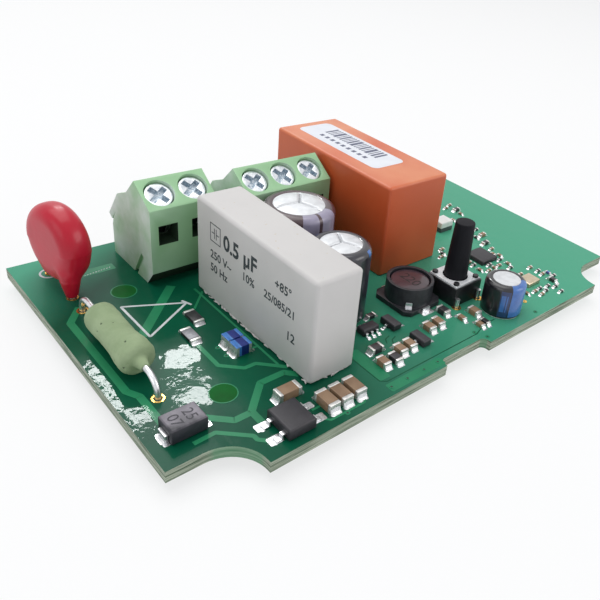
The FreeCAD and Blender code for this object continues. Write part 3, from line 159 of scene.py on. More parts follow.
# The camera's axes, and its place in the board's own millimetres.
CAMERA_PLACE = (-21.4459, -41.3192, 55.3442)
camera_data = bpy.data.cameras.new("camera")
camera = placed("camera", camera_data)
camera_right = Vector((0.71366584, -0.68811511, 0.13106739))
camera_up = Vector((0.26108516, 0.43492648, 0.86178506))
camera_back = Vector((-0.65001201, -0.58080681, 0.49004881))
camera_turn = Matrix((camera_right, camera_up, camera_back)).transposed().to_4x4()
camera.matrix_world = Matrix.Translation(spot(*CAMERA_PLACE)) @ camera_turn
camera_data.sensor_width = 36.0
camera_data.lens = 39.922
camera_data.shift_x = -0.16582
camera_data.shift_y = -0.06768
camera_data.clip_start = 0.005
camera_data.clip_end = 20.0
bpy.context.scene.camera = camera
bpy.context.scene.view_settings.view_transform = "Standard"

# Small panes behind the object, each mirrored in the glossy resist at its place beside the resistor; a pane's
# place is in board millimetres, its width and height in metres.
PANES = (((10.5, 21.1), 0.026, 0.019), ((7.7, 13.7), 0.028, 0.017), ((0.5, 23.1), 0.014, 0.018),
         ((0.8, 18.7), 0.015, 0.017), ((1.7, 14.4), 0.017, 0.015))
PANE_DISTANCE = 0.5
PANE_GLOW = 240.0
for number, ((x, y), width, height) in enumerate(PANES):
    mirrored = spot(x, y) - camera.matrix_world.translation
    mirrored.z = -mirrored.z
    pane = softbox(f"pane_{number}", spot(x, y) + mirrored.normalized() * PANE_DISTANCE, spot(x, y), width,
                   height, PANE_GLOW * width * height, (0.97, 0.99, 1.0))
    pane.visible_diffuse = False


# Circuit board.
# Glass and epoxy laminate with copper under glossy green solder resist, routed to shape
# so that its sawn edge shows pale fibres, with a white printed legend on top.
def object_place(tree):
    """The place and the normal of a point in the object's own axes."""
    return add_node(tree, "ShaderNodeTexCoord", {}).outputs


def noise_at(tree, place, scale, detail, **others):
    """Fractal noise at a place."""
    return add_node(tree, "ShaderNodeTexNoise", {"Vector": place, "Scale": scale, "Detail": detail,
                                                 **others}).outputs["Fac"]


def ranged(tree, value, low=0.0, high=1.0, least=0.0, most=1.0):
    """A value with one range stretched onto another."""
    return add_node(tree, "ShaderNodeMapRange", {"Value": value, "From Min": low, "From Max": high,
                                                 "To Min": least, "To Max": most}).outputs["Result"]


def two_tone(tree, share, low, colour, high, second):
    """A colour that runs into a second one between two levels of a share."""
    tint = add_node(tree, "ShaderNodeValToRGB", {"Fac": share})
    for stop, position, tone in zip(tint.color_ramp.elements, (low, high), (colour, second)):
        stop.position = position
        stop.color = shade(*tone)
    return tint.outputs["Color"]


def mixed(tree, share, under, over):
    """One colour laid over another by a share."""
    return add_node(tree, "ShaderNodeMix", {0: share, 6: under, 7: over}, data_type="RGBA").outputs[2]


def raised(tree, height, strength, distance):
    """The slant of a surface whose height varies by a distance in millimetres."""
    return add_node(tree, "ShaderNodeBump", {"Height": height, "Strength": strength,
                                             "Distance": distance * MM}).outputs["Normal"]


CLOUD_DETAIL = 5.0
GRAIN_DETAIL = 3.0
GRAIN_STRENGTH = 0.6
GLOSS_SPREAD = (0.85, 1.2)
LACQUER_ROUGHNESS = 0.06


def finish(name, colour, second, rough, cloud, metal=0.0, grain=0.0, grain_size=0.15, coat=0.0,
           low=0.35, high=0.65, sheen=0.5):
    """A finish whose colour clouds into a second one, with uneven gloss and fine relief, in millimetres."""
    material, tree = new_material(name)
    place = object_place(tree)["Object"]
    clouds = noise_at(tree, place, 1.0 / (cloud * MM), CLOUD_DETAIL)
    least, most = (min(1.0, rough * share) for share in GLOSS_SPREAD)
    shader = feed(tree, tree.nodes["Principled BSDF"], {
        "Metallic": metal, "Specular IOR Level": sheen, "Coat Weight": coat,
        "Coat Roughness": LACQUER_ROUGHNESS, "Roughness": ranged(tree, clouds, least=least, most=most),
        "Base Color": two_tone(tree, clouds, low, colour, high, second)})
    if grain:
        fine = noise_at(tree, place, 1.0 / (grain_size * MM), GRAIN_DETAIL)
        feed(tree, shader, {"Normal": raised(tree, fine, GRAIN_STRENGTH, grain)})
    return material


def dress(node, material):
    """Give a CAD node its finish."""
    for part_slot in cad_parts[node].material_slots:
        part_slot.material = material


def add_piece(name, mesh, material, stands_for=(), sharp=35.0, body="board"):
    """Show a mesh as a piece of the object, smooth but for its sharp edges."""
    mesh.materials.clear()
    mesh.materials.append(material)
    for face in mesh.polygons:
        face.use_smooth = True
    mesh.set_sharp_from_angle(angle=math.radians(sharp))
    piece = placed(name, mesh)
    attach(piece, body)
    if stands_for:
        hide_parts(*stands_for)
    return piece


MERGE_DISTANCE = 1e-7


def plain_mesh(name, build):
    """A mesh from a function that fills a bmesh, with its doubles merged and its faces outward."""
    shape = bmesh.new()
    build(shape)
    bmesh.ops.remove_doubles(shape, verts=shape.verts, dist=MERGE_DISTANCE)
    bmesh.ops.recalc_face_normals(shape, faces=shape.faces)
    mesh = bpy.data.meshes.new(name)
    shape.to_mesh(mesh)
    shape.free()
    return mesh


def finished_mesh(holder, name):
    """What an object's modifiers make of it, as a plain mesh."""
    bpy.context.view_layer.update()
    depsgraph = bpy.context.evaluated_depsgraph_get()
    mesh = bpy.data.meshes.new_from_object(holder.evaluated_get(depsgraph))
    mesh.name = name
    bpy.data.objects.remove(holder)
    return mesh


def open_tree(name, taken, kinds, given):
    """A geometry tree, the identifiers of its named inputs, and what comes in through them."""
    tree = bpy.data.node_groups.new(name, "GeometryNodeTree")
    tree.interface.new_socket(name=taken, in_out="INPUT", socket_type="NodeSocketGeometry")
    identifiers = {}
    for entry, kind in kinds.items():
        socket = tree.interface.new_socket(name=entry, in_out="INPUT", socket_type=kind)
        identifiers[entry] = socket.identifier
    tree.interface.new_socket(name=given, in_out="OUTPUT", socket_type="NodeSocketGeometry")
    return tree, identifiers, add_node(tree, "NodeGroupInput", {}).outputs


def close_tree(tree, geometry, material, given):
    """End a geometry tree with real pieces in their finish."""
    real = add_node(tree, "GeometryNodeRealizeInstances", {"Geometry": geometry})
    paint = add_node(tree, "GeometryNodeSetMaterial", {"Geometry": real.outputs["Geometry"],
                                                       "Material": material})
    add_node(tree, "NodeGroupOutput", {given: paint.outputs["Geometry"]})


def grown(name, mesh, tree, identifiers, values):
    """What a geometry tree makes of a mesh, with values for its named inputs."""
    holder = placed(name + "_source", mesh)
    modifier = holder.modifiers.new("tree", "NODES")
    modifier.node_group = tree
    for entry, value in values.items():
        modifier[identifiers[entry]] = value
    return finished_mesh(holder, name)


CORNER_STEPS = 4
STRIP_STAGGER = 0.0015


def strip_tree():
    """Strips of copper or print of one width along drawn lines, with rounded corners."""
    tree, identifiers, entry = open_tree("strip_along_lines", "Lines", {
        "Width": "NodeSocketFloat", "Thickness": "NodeSocketFloat", "Corner": "NodeSocketFloat",
        "Finish": "NodeSocketMaterial"}, "Strips")
    drawn = add_node(tree, "GeometryNodeMeshToCurve", {"Mesh": entry["Lines"]})
    bent = add_node(tree, "GeometryNodeFilletCurve", {
        "Curve": drawn.outputs["Curve"], "Count": CORNER_STEPS, "Limit Radius": True,
        "Radius": entry["Corner"]}, mode="POLY")
    level = add_node(tree, "GeometryNodeSetCurveNormal", {"Curve": bent.outputs["Curve"]}, mode="Z_UP")
    section = add_node(tree, "GeometryNodeCurvePrimitiveQuadrilateral", {"Width": entry["Width"],
                                                                         "Height": entry["Thickness"]})
    swept = add_node(tree, "GeometryNodeCurveToMesh", {
        "Curve": level.outputs["Curve"], "Profile Curve": section.outputs["Curve"], "Fill Caps": True})
    close_tree(tree, swept.outputs["Mesh"], entry["Finish"], "Strips")
    return tree, identifiers


strips, strip_inputs = strip_tree()


def lay_strips(name, lines, width, thickness, material, height=0.0, corner=0.3):
    """Lay strips along lines given in board millimetres, each a hair higher than the one before."""
    drawn = bpy.data.meshes.new(name + "_lines")
    points = []
    edges = []
    for order, line in enumerate(lines):
        for number, (x, y) in enumerate(line):
            if number:
                edges.append((len(points) - 1, len(points)))
            points.append(spot(x, y, height + STRIP_STAGGER * order))
    drawn.from_pydata(points, edges, [])
    mesh = grown(name, drawn, strips, strip_inputs, {
        "Width": width * MM, "Thickness": thickness * MM, "Corner": corner * MM, "Finish": material})
    return add_piece(name, mesh, material)


resist, skin = new_material("green_resist")
on_board = object_place(skin)
on_place = on_board["Object"]
CLOUD_SCALE = 70.0
etched = two_tone(skin, noise_at(skin, on_place, CLOUD_SCALE, 6.0), 0.3, (4, 74, 54), 0.75, (14, 94, 66))

# Copper darkens most of the resist; its paler right end and rear left corner are painted reflection.
HAZE_FROM_X = (-0.024, 0.018)
TO_REAR_CORNER = (-60.0, 75.0, 0.0)
HAZE_CORNER = (3.2, 4.3)
along_board = add_node(skin, "ShaderNodeSeparateXYZ", {"Vector": on_place}).outputs["X"]
to_corner = add_node(skin, "ShaderNodeVectorMath", {0: on_place, 1: TO_REAR_CORNER},
                     operation="DOT_PRODUCT").outputs["Value"]
painted_haze_share = worked_out(skin, "MAXIMUM", ranged(skin, along_board, *HAZE_FROM_X),
                        ranged(skin, to_corner, *HAZE_CORNER))
face_colour = mixed(skin, painted_haze_share, etched, shade(78, 166, 134))

# The sawn edge: pressed layers of glass cloth as long thin streaks, greener where a notch was milled.
LAYER_SCALE = (160.0, 160.0, 5200.0)
stretched = add_node(skin, "ShaderNodeMapping", {"Vector": on_place, "Scale": LAYER_SCALE})
layers = noise_at(skin, stretched.outputs["Vector"], 1.0, 7.0, Roughness=0.62)
sawn = two_tone(skin, layers, 0.34, (70, 92, 70), 0.64, (184, 192, 172))
facing = add_node(skin, "ShaderNodeVectorMath", {0: on_board["Normal"]}, operation="ABSOLUTE")
faced = add_node(skin, "ShaderNodeSeparateXYZ", {"Vector": facing.outputs["Vector"]}).outputs
milled = ranged(skin, worked_out(skin, "MAXIMUM", faced["X"], faced["Y"]), 0.999, 0.97, most=0.6)
edge_colour = mixed(skin, milled, sawn, shade(96, 156, 118))
is_face = worked_out(skin, "GREATER_THAN", faced["Z"], 0.5)

# The resist follows the etched copper below it, so that a window mirrored in it breaks into patches.
SWELL_SCALE = 380.0
SWELL_HEIGHT = 0.055
swell = raised(skin, noise_at(skin, on_place, SWELL_SCALE, 4.0, Roughness=0.42), 0.8, SWELL_HEIGHT)
feed(skin, skin.nodes["Principled BSDF"], {
    "Coat Weight": 0.16, "Coat Roughness": 0.03, "Specular IOR Level": 0.06,
    "Base Color": mixed(skin, is_face, edge_colour, face_colour),
    "Roughness": ranged(skin, is_face, least=0.85, most=0.3), "Normal": swell, "Coat Normal": swell})
dress("circuit_board", resist)

bare_gap = finish("resist_over_bare_laminate", (30, 126, 84), (40, 138, 94), 0.4, 6.0, coat=0.1, sheen=0.2)
pale_pour = finish("resist_over_pale_laminate", (26, 122, 84), (34, 132, 92), 0.4, 6.0, coat=0.1, sheen=0.2)
dark_resist = finish("resist_over_a_clear_disc", (6, 84, 28), (12, 96, 36), 0.5, 2.0, sheen=0.08)
legend_ink = finish("legend_ink", (206, 212, 214), (228, 232, 234), 0.6, 1.0)
# Dark discs over the holes are painted shade, standing for the shade down in each drilled hole.
hole_painted_shade = finish("drilled_hole_painted_shade", (10, 46, 34), (18, 60, 44), 0.6, 0.6)
gold_pad = finish("gilt_pad", (222, 164, 72), (244, 202, 120), 0.25, 0.7, metal=0.9)
tinned = finish("tinned_metal", (206, 208, 212), (232, 232, 234), 0.28, 0.6, metal=0.9, grain=0.006,
                grain_size=0.2)
copper_line = finish("buried_copper_line", (6, 76, 52), (14, 90, 62), 0.4, 4.0, sheen=0.15)
GAP_THICKNESS = 0.03

lay_strips("wide_gaps", [
    [(20.3, 9.9), (19.0, 11.3), (15.5, 11.3), (11.8, 7.6), (9.6, 7.6), (7.2, 9.9)],
    [(11.9, 7.6), (11.9, 5.6)],
    [(4.4, 37.9), (2.15, 35.0), (2.15, 18.8), (3.0, 17.2), (3.0, 11.0)],
], 0.95, GAP_THICKNESS, bare_gap)
lay_strips("middle_gaps", [
    [(13.1, 22.0), (13.1, 17.0), (15.5, 14.75), (17.1, 14.75), (20.0, 11.9)],
    [(4.2, 7.1), (6.9, 7.2), (10.0, 4.3), (10.0, 3.6), (11.0, 2.6)],
], 0.6, GAP_THICKNESS, bare_gap, height=0.002)
lay_strips("diagonal_gap", [[(8.2, 27.5), (16.9, 36.4)]], 1.3, GAP_THICKNESS, bare_gap)
lay_strips("narrow_gaps", [
    [(17.7, 3.8), (19.2, 3.8)], [(17.6, 2.2), (18.5, 1.2), (23.7, 1.2), (24.4, 1.8)],
    [(16.8, 29.5), (19.9, 32.8)], [(19.3, 34.0), (19.3, 12.6)],
    [(18.1, 17.6), (19.3, 17.6)], [(18.1, 20.3), (19.3, 20.3)],
], 0.32, GAP_THICKNESS, bare_gap, height=0.004)
lay_strips("buried_lines", [
    [(27.9, 9.9), (27.9, 3.0), (28.7, 2.4), (46.8, 2.5), (49.5, 3.4), (52.0, 3.4)],
    [(34.1, 8.3), (34.6, 9.1), (35.6, 9.4)], [(34.8, 7.7), (35.3, 8.5), (36.2, 8.8)],
], 0.16, GAP_THICKNESS, copper_line, height=0.004)


def rounded_corners(low, high, radius):
    """The outline of a plate between two corners, its own corners rounded, in board millimetres."""
    outline = []
    middles = ((high[0] - radius, high[1] - radius), (low[0] + radius, high[1] - radius),
               (low[0] + radius, low[1] + radius), (high[0] - radius, low[1] + radius))
    for number, (x, y) in enumerate(middles):
        for step in range(CORNER_STEPS + 1):
            angle = math.pi / 2 * (number + step / CORNER_STEPS)
            outline.append((x + radius * math.cos(angle), y + radius * math.sin(angle)))
    return outline


def close_prism(shape, lower, upper):
    """Join two outlines of the same corners into a closed solid."""
    shape.faces.new(lower)
    shape.faces.new(upper)
    for number in range(len(lower)):
        following = (number + 1) % len(lower)
        shape.faces.new((lower[number], lower[following], upper[following], upper[number]))


def raise_outline(shape, outline, bottom, top):
    """Stand a thin plate of one outline between two heights above the board."""
    close_prism(shape, [shape.verts.new(spot(x, y, bottom)) for x, y in outline],
                [shape.verts.new(spot(x, y, top)) for x, y in outline])


def lay_plates(name, corners, material, bottom, top, radius):
    """Lay rounded plates, each given by its low and high corner."""
    def build(shape):
        for low, high in corners:
            raise_outline(shape, rounded_corners(low, high, radius), bottom, top)
    return add_piece(name, plain_mesh(name, build), material)


def turned(shape, x, y, profile, steps):
    """Turn a closed profile of radius and height about an upright axis standing on the board."""
    rings = []
    for step in range(steps):
        angle = math.tau * step / steps
        rings.append([shape.verts.new(spot(x + r * math.cos(angle), y + r * math.sin(angle), z))
                      for r, z in profile])
    for step in range(steps):
        near = rings[step]
        far = rings[(step + 1) % steps]
        for number in range(len(profile)):
            following = (number + 1) % len(profile)
            if profile[number][0] or profile[following][0]:
                shape.faces.new((near[number], near[following], far[following], far[number]))


SUNK = -0.01
RING_STEPS = 36


def lay_rings(name, rows, material, top, bottom=SUNK):
    """Lay flat rings, each a place and its inner and outer radius."""
    def build(shape):
        for x, y, inner, outer in rows:
            turned(shape, x, y, [(inner, bottom), (outer, bottom), (outer, top), (inner, top)], RING_STEPS)
    return add_piece(name, plain_mesh(name, build), material)


def lay_discs(name, rows, material, top):
    """Lay flat discs, each a place and a radius."""
    def build(shape):
        for x, y, radius in rows:
            turned(shape, x, y, [(0, SUNK), (radius, SUNK), (radius, top), (0, top)], RING_STEPS)
    return add_piece(name, plain_mesh(name, build), material)


lay_plates("pale_pours", [((27.95, 2.9), (29.8, 9.7)), ((27.9, 0.5), (37.9, 2.0)),
                          ((5.6, 44.9), (12.6, 46.6))], pale_pour, SUNK, 0.012, 0.25)
CLEAR_DISCS = [(10.85, 38.5), (10.95, 12.25)]
lay_discs("clear_discs", [(x, y, 1.65) for x, y in CLEAR_DISCS], dark_resist, 0.02)
lay_rings("clear_disc_rims", [(x, y, 1.64, 1.78) for x, y in CLEAR_DISCS], bare_gap, top=0.024)
VIAS = [(20.84, 0.97), (28.41, 1.3), (31.28, 1.3), (34.38, 1.3), (37.1, 1.35), (59.31, 0.99),
        (47.55, 1.13), (46.7, 2.96), (14.88, 20.1), (14.92, 18.1), (62.4, 27.0), (64.0, 33.5),
        (72.0, 26.5), (70.5, 35.0)]
lay_rings("via_rims", [(x, y, 0.16, 0.34) for x, y in VIAS], pale_pour, top=0.04)
# The dark centres of the vias are painted shade.
lay_discs("via_holes", [(x, y, 0.17) for x, y in VIAS], hole_painted_shade, 0.034)
LEAD_HOLES = [(4.5, 15.7), (4.5, 36.9), (4.6, 40.55), (4.6, 48.25)]
SWITCH_HOLES = [(49.3, 8.85), (54.3, 8.85), (49.3, 15.35), (54.3, 15.35)]
TEST_PAD = (60.25, 3.82)
# The dark discs in the lead and switch holes are painted shade.
lay_discs("lead_holes", [(x, y, 0.56) for x, y in LEAD_HOLES] + [(x, y, 0.5) for x, y in SWITCH_HOLES],
          hole_painted_shade, 0.03)
lay_rings("gilt_rings", [(x, y, 0.55, 0.8) for x, y in LEAD_HOLES]
          + [(x, y, 0.48, 0.76) for x, y in SWITCH_HOLES] + [(*TEST_PAD, 0.12, 0.4)],
          gold_pad, top=0.06)
lay_rings("printed_ring", [(4.35, 48.25, 1.05, 1.35)], legend_ink, top=0.03)

# A diode's sign in white print: a closed line, with its bar at the tip.
PRINT_HEIGHT = 0.016
PRINT_THICKNESS = 0.02
lay_strips("printed_sign", [[(12.75, 33.25), (8.87, 35.1), (9.04, 26.86), (16.62, 31.39), (12.74, 33.25)],
                            [(16.3, 32.2), (16.95, 30.6)]],
           0.34, PRINT_THICKNESS, legend_ink, height=PRINT_HEIGHT, corner=0.1)
DOT_COUNT = 10
DOT_STEP = (0.42, 0.05)
printed_dots = [[(x + DOT_STEP[0] * dot, y + DOT_STEP[1] * dot) for x, y in ((8.0, 45.1), (8.22, 45.13))]
                for dot in range(DOT_COUNT)]
lay_strips("printed_dots", printed_dots, 0.12, PRINT_THICKNESS, legend_ink, height=PRINT_HEIGHT, corner=0.0)


# Terminal blocks.
# Two green moulded polyamide housings, two-way and three-way, with a plated screw in a
# round well above each clamp; the pins are soldered through the board.
FLAT_ANGLE = 2.0
EDGE_ANGLE = 30.0


def merged_solid(node):
    """A CAD node's mesh to work on, with its doubles merged."""
    shape = bmesh.new()
    shape.from_mesh(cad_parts[node].data)
    bmesh.ops.remove_doubles(shape, verts=shape.verts, dist=MERGE_DISTANCE)
    return shape


def softened(node, width, material, name, segments=3, body="board"):
    """A copy of a CAD node with its hard edges rounded, standing for it."""
    shape = merged_solid(node)
    bmesh.ops.dissolve_limit(shape, angle_limit=math.radians(FLAT_ANGLE), verts=shape.verts,
                             edges=shape.edges)
    mesh = bpy.data.meshes.new(node + "_rounded")
    shape.to_mesh(mesh)
    shape.free()
    holder = placed(node + "_rounded", mesh)
    bevel = holder.modifiers.new("edges", "BEVEL")
    bevel.width = width * MM
    bevel.segments = segments
    bevel.limit_method = "ANGLE"
    bevel.angle_limit = math.radians(EDGE_ANGLE)
    bevel.use_clamp_overlap = True
    return add_piece(name, finished_mesh(holder, name), material, (node,), body=body)


def paint_faces(piece, material, chosen):
    """Give the faces that a rule picks by their middle a finish of their own."""
    piece.data.materials.append(material)
    last = len(piece.data.materials) - 1
    for face in piece.data.polygons:
        if chosen(face.center):
            face.material_index = last


def lay_over(material, share, colour):
    """Lay a second colour over a finish by a share."""
    tree = material.node_tree
    shader = tree.nodes["Principled BSDF"]
    base = shader.inputs["Base Color"].links[0].from_socket
    feed(tree, shader, {"Base Color": mixed(tree, share, base, colour)})


def frost_and_sheen(material, colour, way, patch, amount):
    """Cloud the faces that look one way with a second colour, in uneven patches; on the terminals and the
    relay cover this is a painted sheen.
    """
    tree = material.node_tree
    place = object_place(tree)
    facing = add_node(tree, "ShaderNodeVectorMath", {0: place["Normal"], 1: way}, operation="DOT_PRODUCT")
    patches = noise_at(tree, place["Object"], 1.0 / (patch * MM), 6.0)
    patchy = ranged(tree, patches, 0.3, 0.7, most=amount)
    lay_over(material, worked_out(tree, "MULTIPLY", facing.outputs["Value"], patchy, use_clamp=True), colour)


moulded_green = finish("moulded_green", (152, 196, 150), (158, 202, 156), 0.5, 5.0, grain=0.02,
                       grain_size=0.12)
# The faces that look to the left are clouded paler: a painted highlight where they catch the light.
frost_and_sheen(moulded_green, shade(224, 236, 228), (-1.0, 0.0, 0.0), 4.5, 0.95)
# The entries' inner faces are painted dark green: painted shade inside the housings.
entry_painted_shade = finish("moulding_in_painted_shade", (16, 36, 20), (26, 50, 30), 0.7, 2.0)
painted_shade_steel = finish("steel_painted_shade", (52, 54, 56), (74, 76, 78), 0.45, 1.0, metal=0.6)
zinc = finish("zinc_plate", (206, 212, 220), (236, 238, 242), 0.3, 0.5, metal=0.8, grain=0.02,
              grain_size=0.15)
# A darker bluish zinc for the faces in the cross recess, as painted shade.
recess_painted_shade_zinc = finish("zinc_with_painted_recess_shade", (150, 168, 184), (216, 224, 230), 0.35, 0.3, metal=0.6, grain=0.05,
                     grain_size=0.3, low=0.4, high=0.6)
ENTRY_RISE = 10.2
ENTRY_DEPTH = (0.5, 4.0)
ENTRY_MARGIN = 0.4
for node, name in (("terminal_housing_two_way", "two_way_housing"),
                   ("terminal_housing_three_way", "three_way_housing")):
    housing = softened(node, 0.16, moulded_green, name=name)
    low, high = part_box(node)
    # Faces deep in the wire entries take the dark green, as painted shade.
    paint_faces(housing, entry_painted_shade, lambda middle:
                low[1] + ENTRY_DEPTH[0] * MM < middle.y < low[1] + ENTRY_DEPTH[1] * MM
                and low[0] + ENTRY_MARGIN * MM < middle.x < high[0] - ENTRY_MARGIN * MM
                and middle.z < low[2] + ENTRY_RISE * MM)
SCREW_AXIS = Vector((0.0, -0.5503, 0.8350))
RECESS_RIM = 0.12
HEAD_DEPTH = 1.5
SHANK_SLACK = 0.03
for number in range(1, 6):
    body = f"clamp_screw_{number}"
    screw = softened(body, 0.06, zinc, name=f"plated_screw_{number}", body=body)
    head_face = max(vertex.co.dot(SCREW_AXIS) for vertex in screw.data.vertices)
    screw_middle = sum((vertex.co for vertex in screw.data.vertices), Vector()) / len(screw.data.vertices)
    for vertex in screw.data.vertices:
        outward = vertex.co - screw_middle
        outward -= SCREW_AXIS * outward.dot(SCREW_AXIS)
        if vertex.co.dot(SCREW_AXIS) < head_face - HEAD_DEPTH * MM:
            vertex.co -= outward * SHANK_SLACK
    # Faces sunk below the head's rim take the darker zinc: painted shade in the recess.
    paint_faces(screw, recess_painted_shade_zinc, lambda middle: middle.dot(SCREW_AXIS) < head_face - RECESS_RIM * MM)
    dress(f"clamp_cage_{number}", painted_shade_steel)
# The cages above and the contacts are dressed in dark steel: painted shade inside the housings.
dress("terminal_contacts", painted_shade_steel)


# Film capacitor.
# A cast case of warm pale grey plastic with rounded edges, dusted with small specks, on
# legs of potting resin; the face is printed in black with its values.
FILM_FOOT = (7.25, 34.25)
FILM_SPAN = (19.95, 27.05)
FILM_TOP = 14.95
pale_case = finish("pale_case", (206, 203, 201), (212, 209, 207), 0.55, 8.0, grain=0.015, grain_size=0.1)
print_black = finish("print_black", (44, 52, 56), (58, 66, 70), 0.6, 0.8)
speck_tan = finish("speck_tan", (196, 182, 158), (206, 194, 172), 0.7, 0.4)
softened("film_capacitor_case", 0.3, pale_case, segments=4, name="film_case")
film_resin = finish("potting_resin", (168, 164, 150), (190, 186, 172), 0.4, 0.8, grain=0.05)
dress("film_capacitor_resin", film_resin)
dress("film_capacitor_winding", pale_case)
dress("film_capacitor_leads", tinned)


CAPITAL_SHARE = 0.7
PRINT_RELIEF = 0.008
PRINT_LIFT = 0.004


def letters(shape, words, tall, start, along, upward, weight=0.0):
    """Add flat letters of a height and a boldness to a shape, running along from their start."""
    text = bpy.data.curves.new("print", "FONT")
    text.body = words
    text.size = tall * MM / CAPITAL_SHARE
    text.extrude = PRINT_RELIEF * MM
    text.offset = weight * MM
    text.resolution_u = 3
    mesh = finished_mesh(placed("print", text), "print")
    turn = Matrix((along, upward, along.cross(upward))).transposed().to_4x4()
    mesh.transform(Matrix.Translation(start) @ turn)
    shape.from_mesh(mesh)
    bpy.data.meshes.remove(mesh)


FILM_WORDS = (("0.5 µF", 2.2, 27.2, 9.9, 0.09), ("10%", 1.2, 22.6, 7.6, 0.03),
              ("250 V~", 1.25, 30.5, 7.1, 0.03), ("50 Hz", 1.25, 30.5, 5.0, 0.03),
              ("+85°", 1.25, 15.4, 10.3, 0.03), ("25/085/21", 1.15, 17.6, 7.7, 0.03),
              ("12", 1.3, 12.6, 4.2, 0.03))
SIGN_STROKES = (((30.5, 9.7), (30.36, 12.5)), ((30.5, 12.36), (27.9, 12.5)), ((28.04, 9.7), (27.9, 12.5)),
                ((30.5, 9.7), (27.9, 9.84)), ((29.5, 10.3), (29.36, 11.9)), ((29.04, 10.3), (28.9, 11.9)),
                ((30.1, 11.03), (29.4, 11.17)), ((28.98, 11.03), (28.3, 11.17)))


def film_print(shape):
    """The values and a capacitor's sign on the long face that looks to the left."""
    print_x = FILM_SPAN[0] - PRINT_LIFT
    for words, tall, y, z, weight in FILM_WORDS:
        letters(shape, words, tall, spot(print_x, y, z), Vector((0, -1, 0)), Vector((0, 0, 1)), weight)
    for low, high in SIGN_STROKES:
        corners = [(low[0], low[1]), (high[0], low[1]), (high[0], high[1]), (low[0], high[1])]
        back = [shape.verts.new(spot(print_x + PRINT_RELIEF, y, z)) for y, z in corners]
        front = [shape.verts.new(spot(print_x - PRINT_RELIEF, y, z)) for y, z in corners]
        close_prism(shape, back, front)


add_piece("film_print", plain_mesh("film_print", film_print), print_black)


def placing_tree():
    """Copies of one small piece set out on points, each with its own turn and spread."""
    tree, identifiers, entry = open_tree("set_out_on_points", "Points", {
        "Pattern": "NodeSocketObject", "Size": "NodeSocketFloat", "Finish": "NodeSocketMaterial"}, "Pieces")
    pattern = add_node(tree, "GeometryNodeObjectInfo", {"Object": entry["Pattern"]})
    turn, spread = (add_node(tree, "GeometryNodeInputNamedAttribute", {"Name": name},
                             data_type="FLOAT_VECTOR").outputs["Attribute"] for name in ("turn", "spread"))
    turned_by = add_node(tree, "FunctionNodeEulerToRotation", {"Euler": turn})
    sized = add_node(tree, "ShaderNodeVectorMath", {0: spread, "Scale": entry["Size"]}, operation="SCALE")
    copies = add_node(tree, "GeometryNodeInstanceOnPoints", {
        "Points": entry["Points"], "Instance": pattern.outputs["Geometry"],
        "Rotation": turned_by.outputs["Rotation"], "Scale": sized.outputs["Vector"]})
    close_tree(tree, copies.outputs["Instances"], entry["Finish"], "Pieces")
    return tree, identifiers


placing, placing_inputs = placing_tree()


def set_out(name, pattern_mesh, rows, material):
    """Set out copies of a mesh; each row is a place, a turn about each axis and a spread."""
    pattern = bpy.data.objects.new(name + "_pattern", pattern_mesh)
    points = bpy.data.meshes.new(name + "_points")
    points.from_pydata([row[0] for row in rows], [], [])
    for column, entry in ((1, "turn"), (2, "spread")):
        values = points.attributes.new(entry, "FLOAT_VECTOR", "POINT")
        for number, row in enumerate(rows):
            values.data[number].vector = row[column]
    mesh = grown(name, points, placing, placing_inputs, {"Pattern": pattern, "Size": 1.0, "Finish": material})
    bpy.data.objects.remove(pattern)
    return add_piece(name, mesh, material)


LUMP_SWING = 0.35
LUMP_SCALE = 3.1


def small_lump(shape):
    """A low irregular lump of unit size."""
    bmesh.ops.create_icosphere(shape, subdivisions=1, radius=0.5)
    for vertex in shape.verts:
        vertex.co *= 1.0 + LUMP_SWING * noise.noise(vertex.co * LUMP_SCALE)


SPECK_MARGIN = 0.5
SPECK_RELIEF = 0.02
SPECK_LENGTH = 2.4
TOP_SPECKS = 26
TOP_SPECK_SIZE = (0.05, 0.16)
SIDE_SPECKS = 16
SIDE_SPECK_SIZE = (0.04, 0.12)
SIDE_SPECK_RISE = (1.0, FILM_TOP - 0.6)
speck_x = (FILM_SPAN[0] + SPECK_MARGIN, FILM_SPAN[1] - SPECK_MARGIN)
speck_y = (FILM_FOOT[0] + SPECK_MARGIN, FILM_FOOT[1] - SPECK_MARGIN)
lumps = random.Random(11)
speck_rows = []
for _ in range(TOP_SPECKS):
    place = spot(lumps.uniform(*speck_x), lumps.uniform(*speck_y), FILM_TOP)
    size = lumps.uniform(*TOP_SPECK_SIZE) * MM
    speck_rows.append((place, (0, 0, lumps.uniform(0, math.tau)),
                       (size * SPECK_LENGTH, size, SPECK_RELIEF * MM)))
for _ in range(SIDE_SPECKS):
    place = spot(FILM_SPAN[0], lumps.uniform(*speck_y), lumps.uniform(*SIDE_SPECK_RISE))
    size = lumps.uniform(*SIDE_SPECK_SIZE) * MM
    speck_rows.append((place, (0, 0, 0), (SPECK_RELIEF * MM, size, size)))
set_out("film_specks", plain_mesh("speck", small_lump), speck_rows, speck_tan)

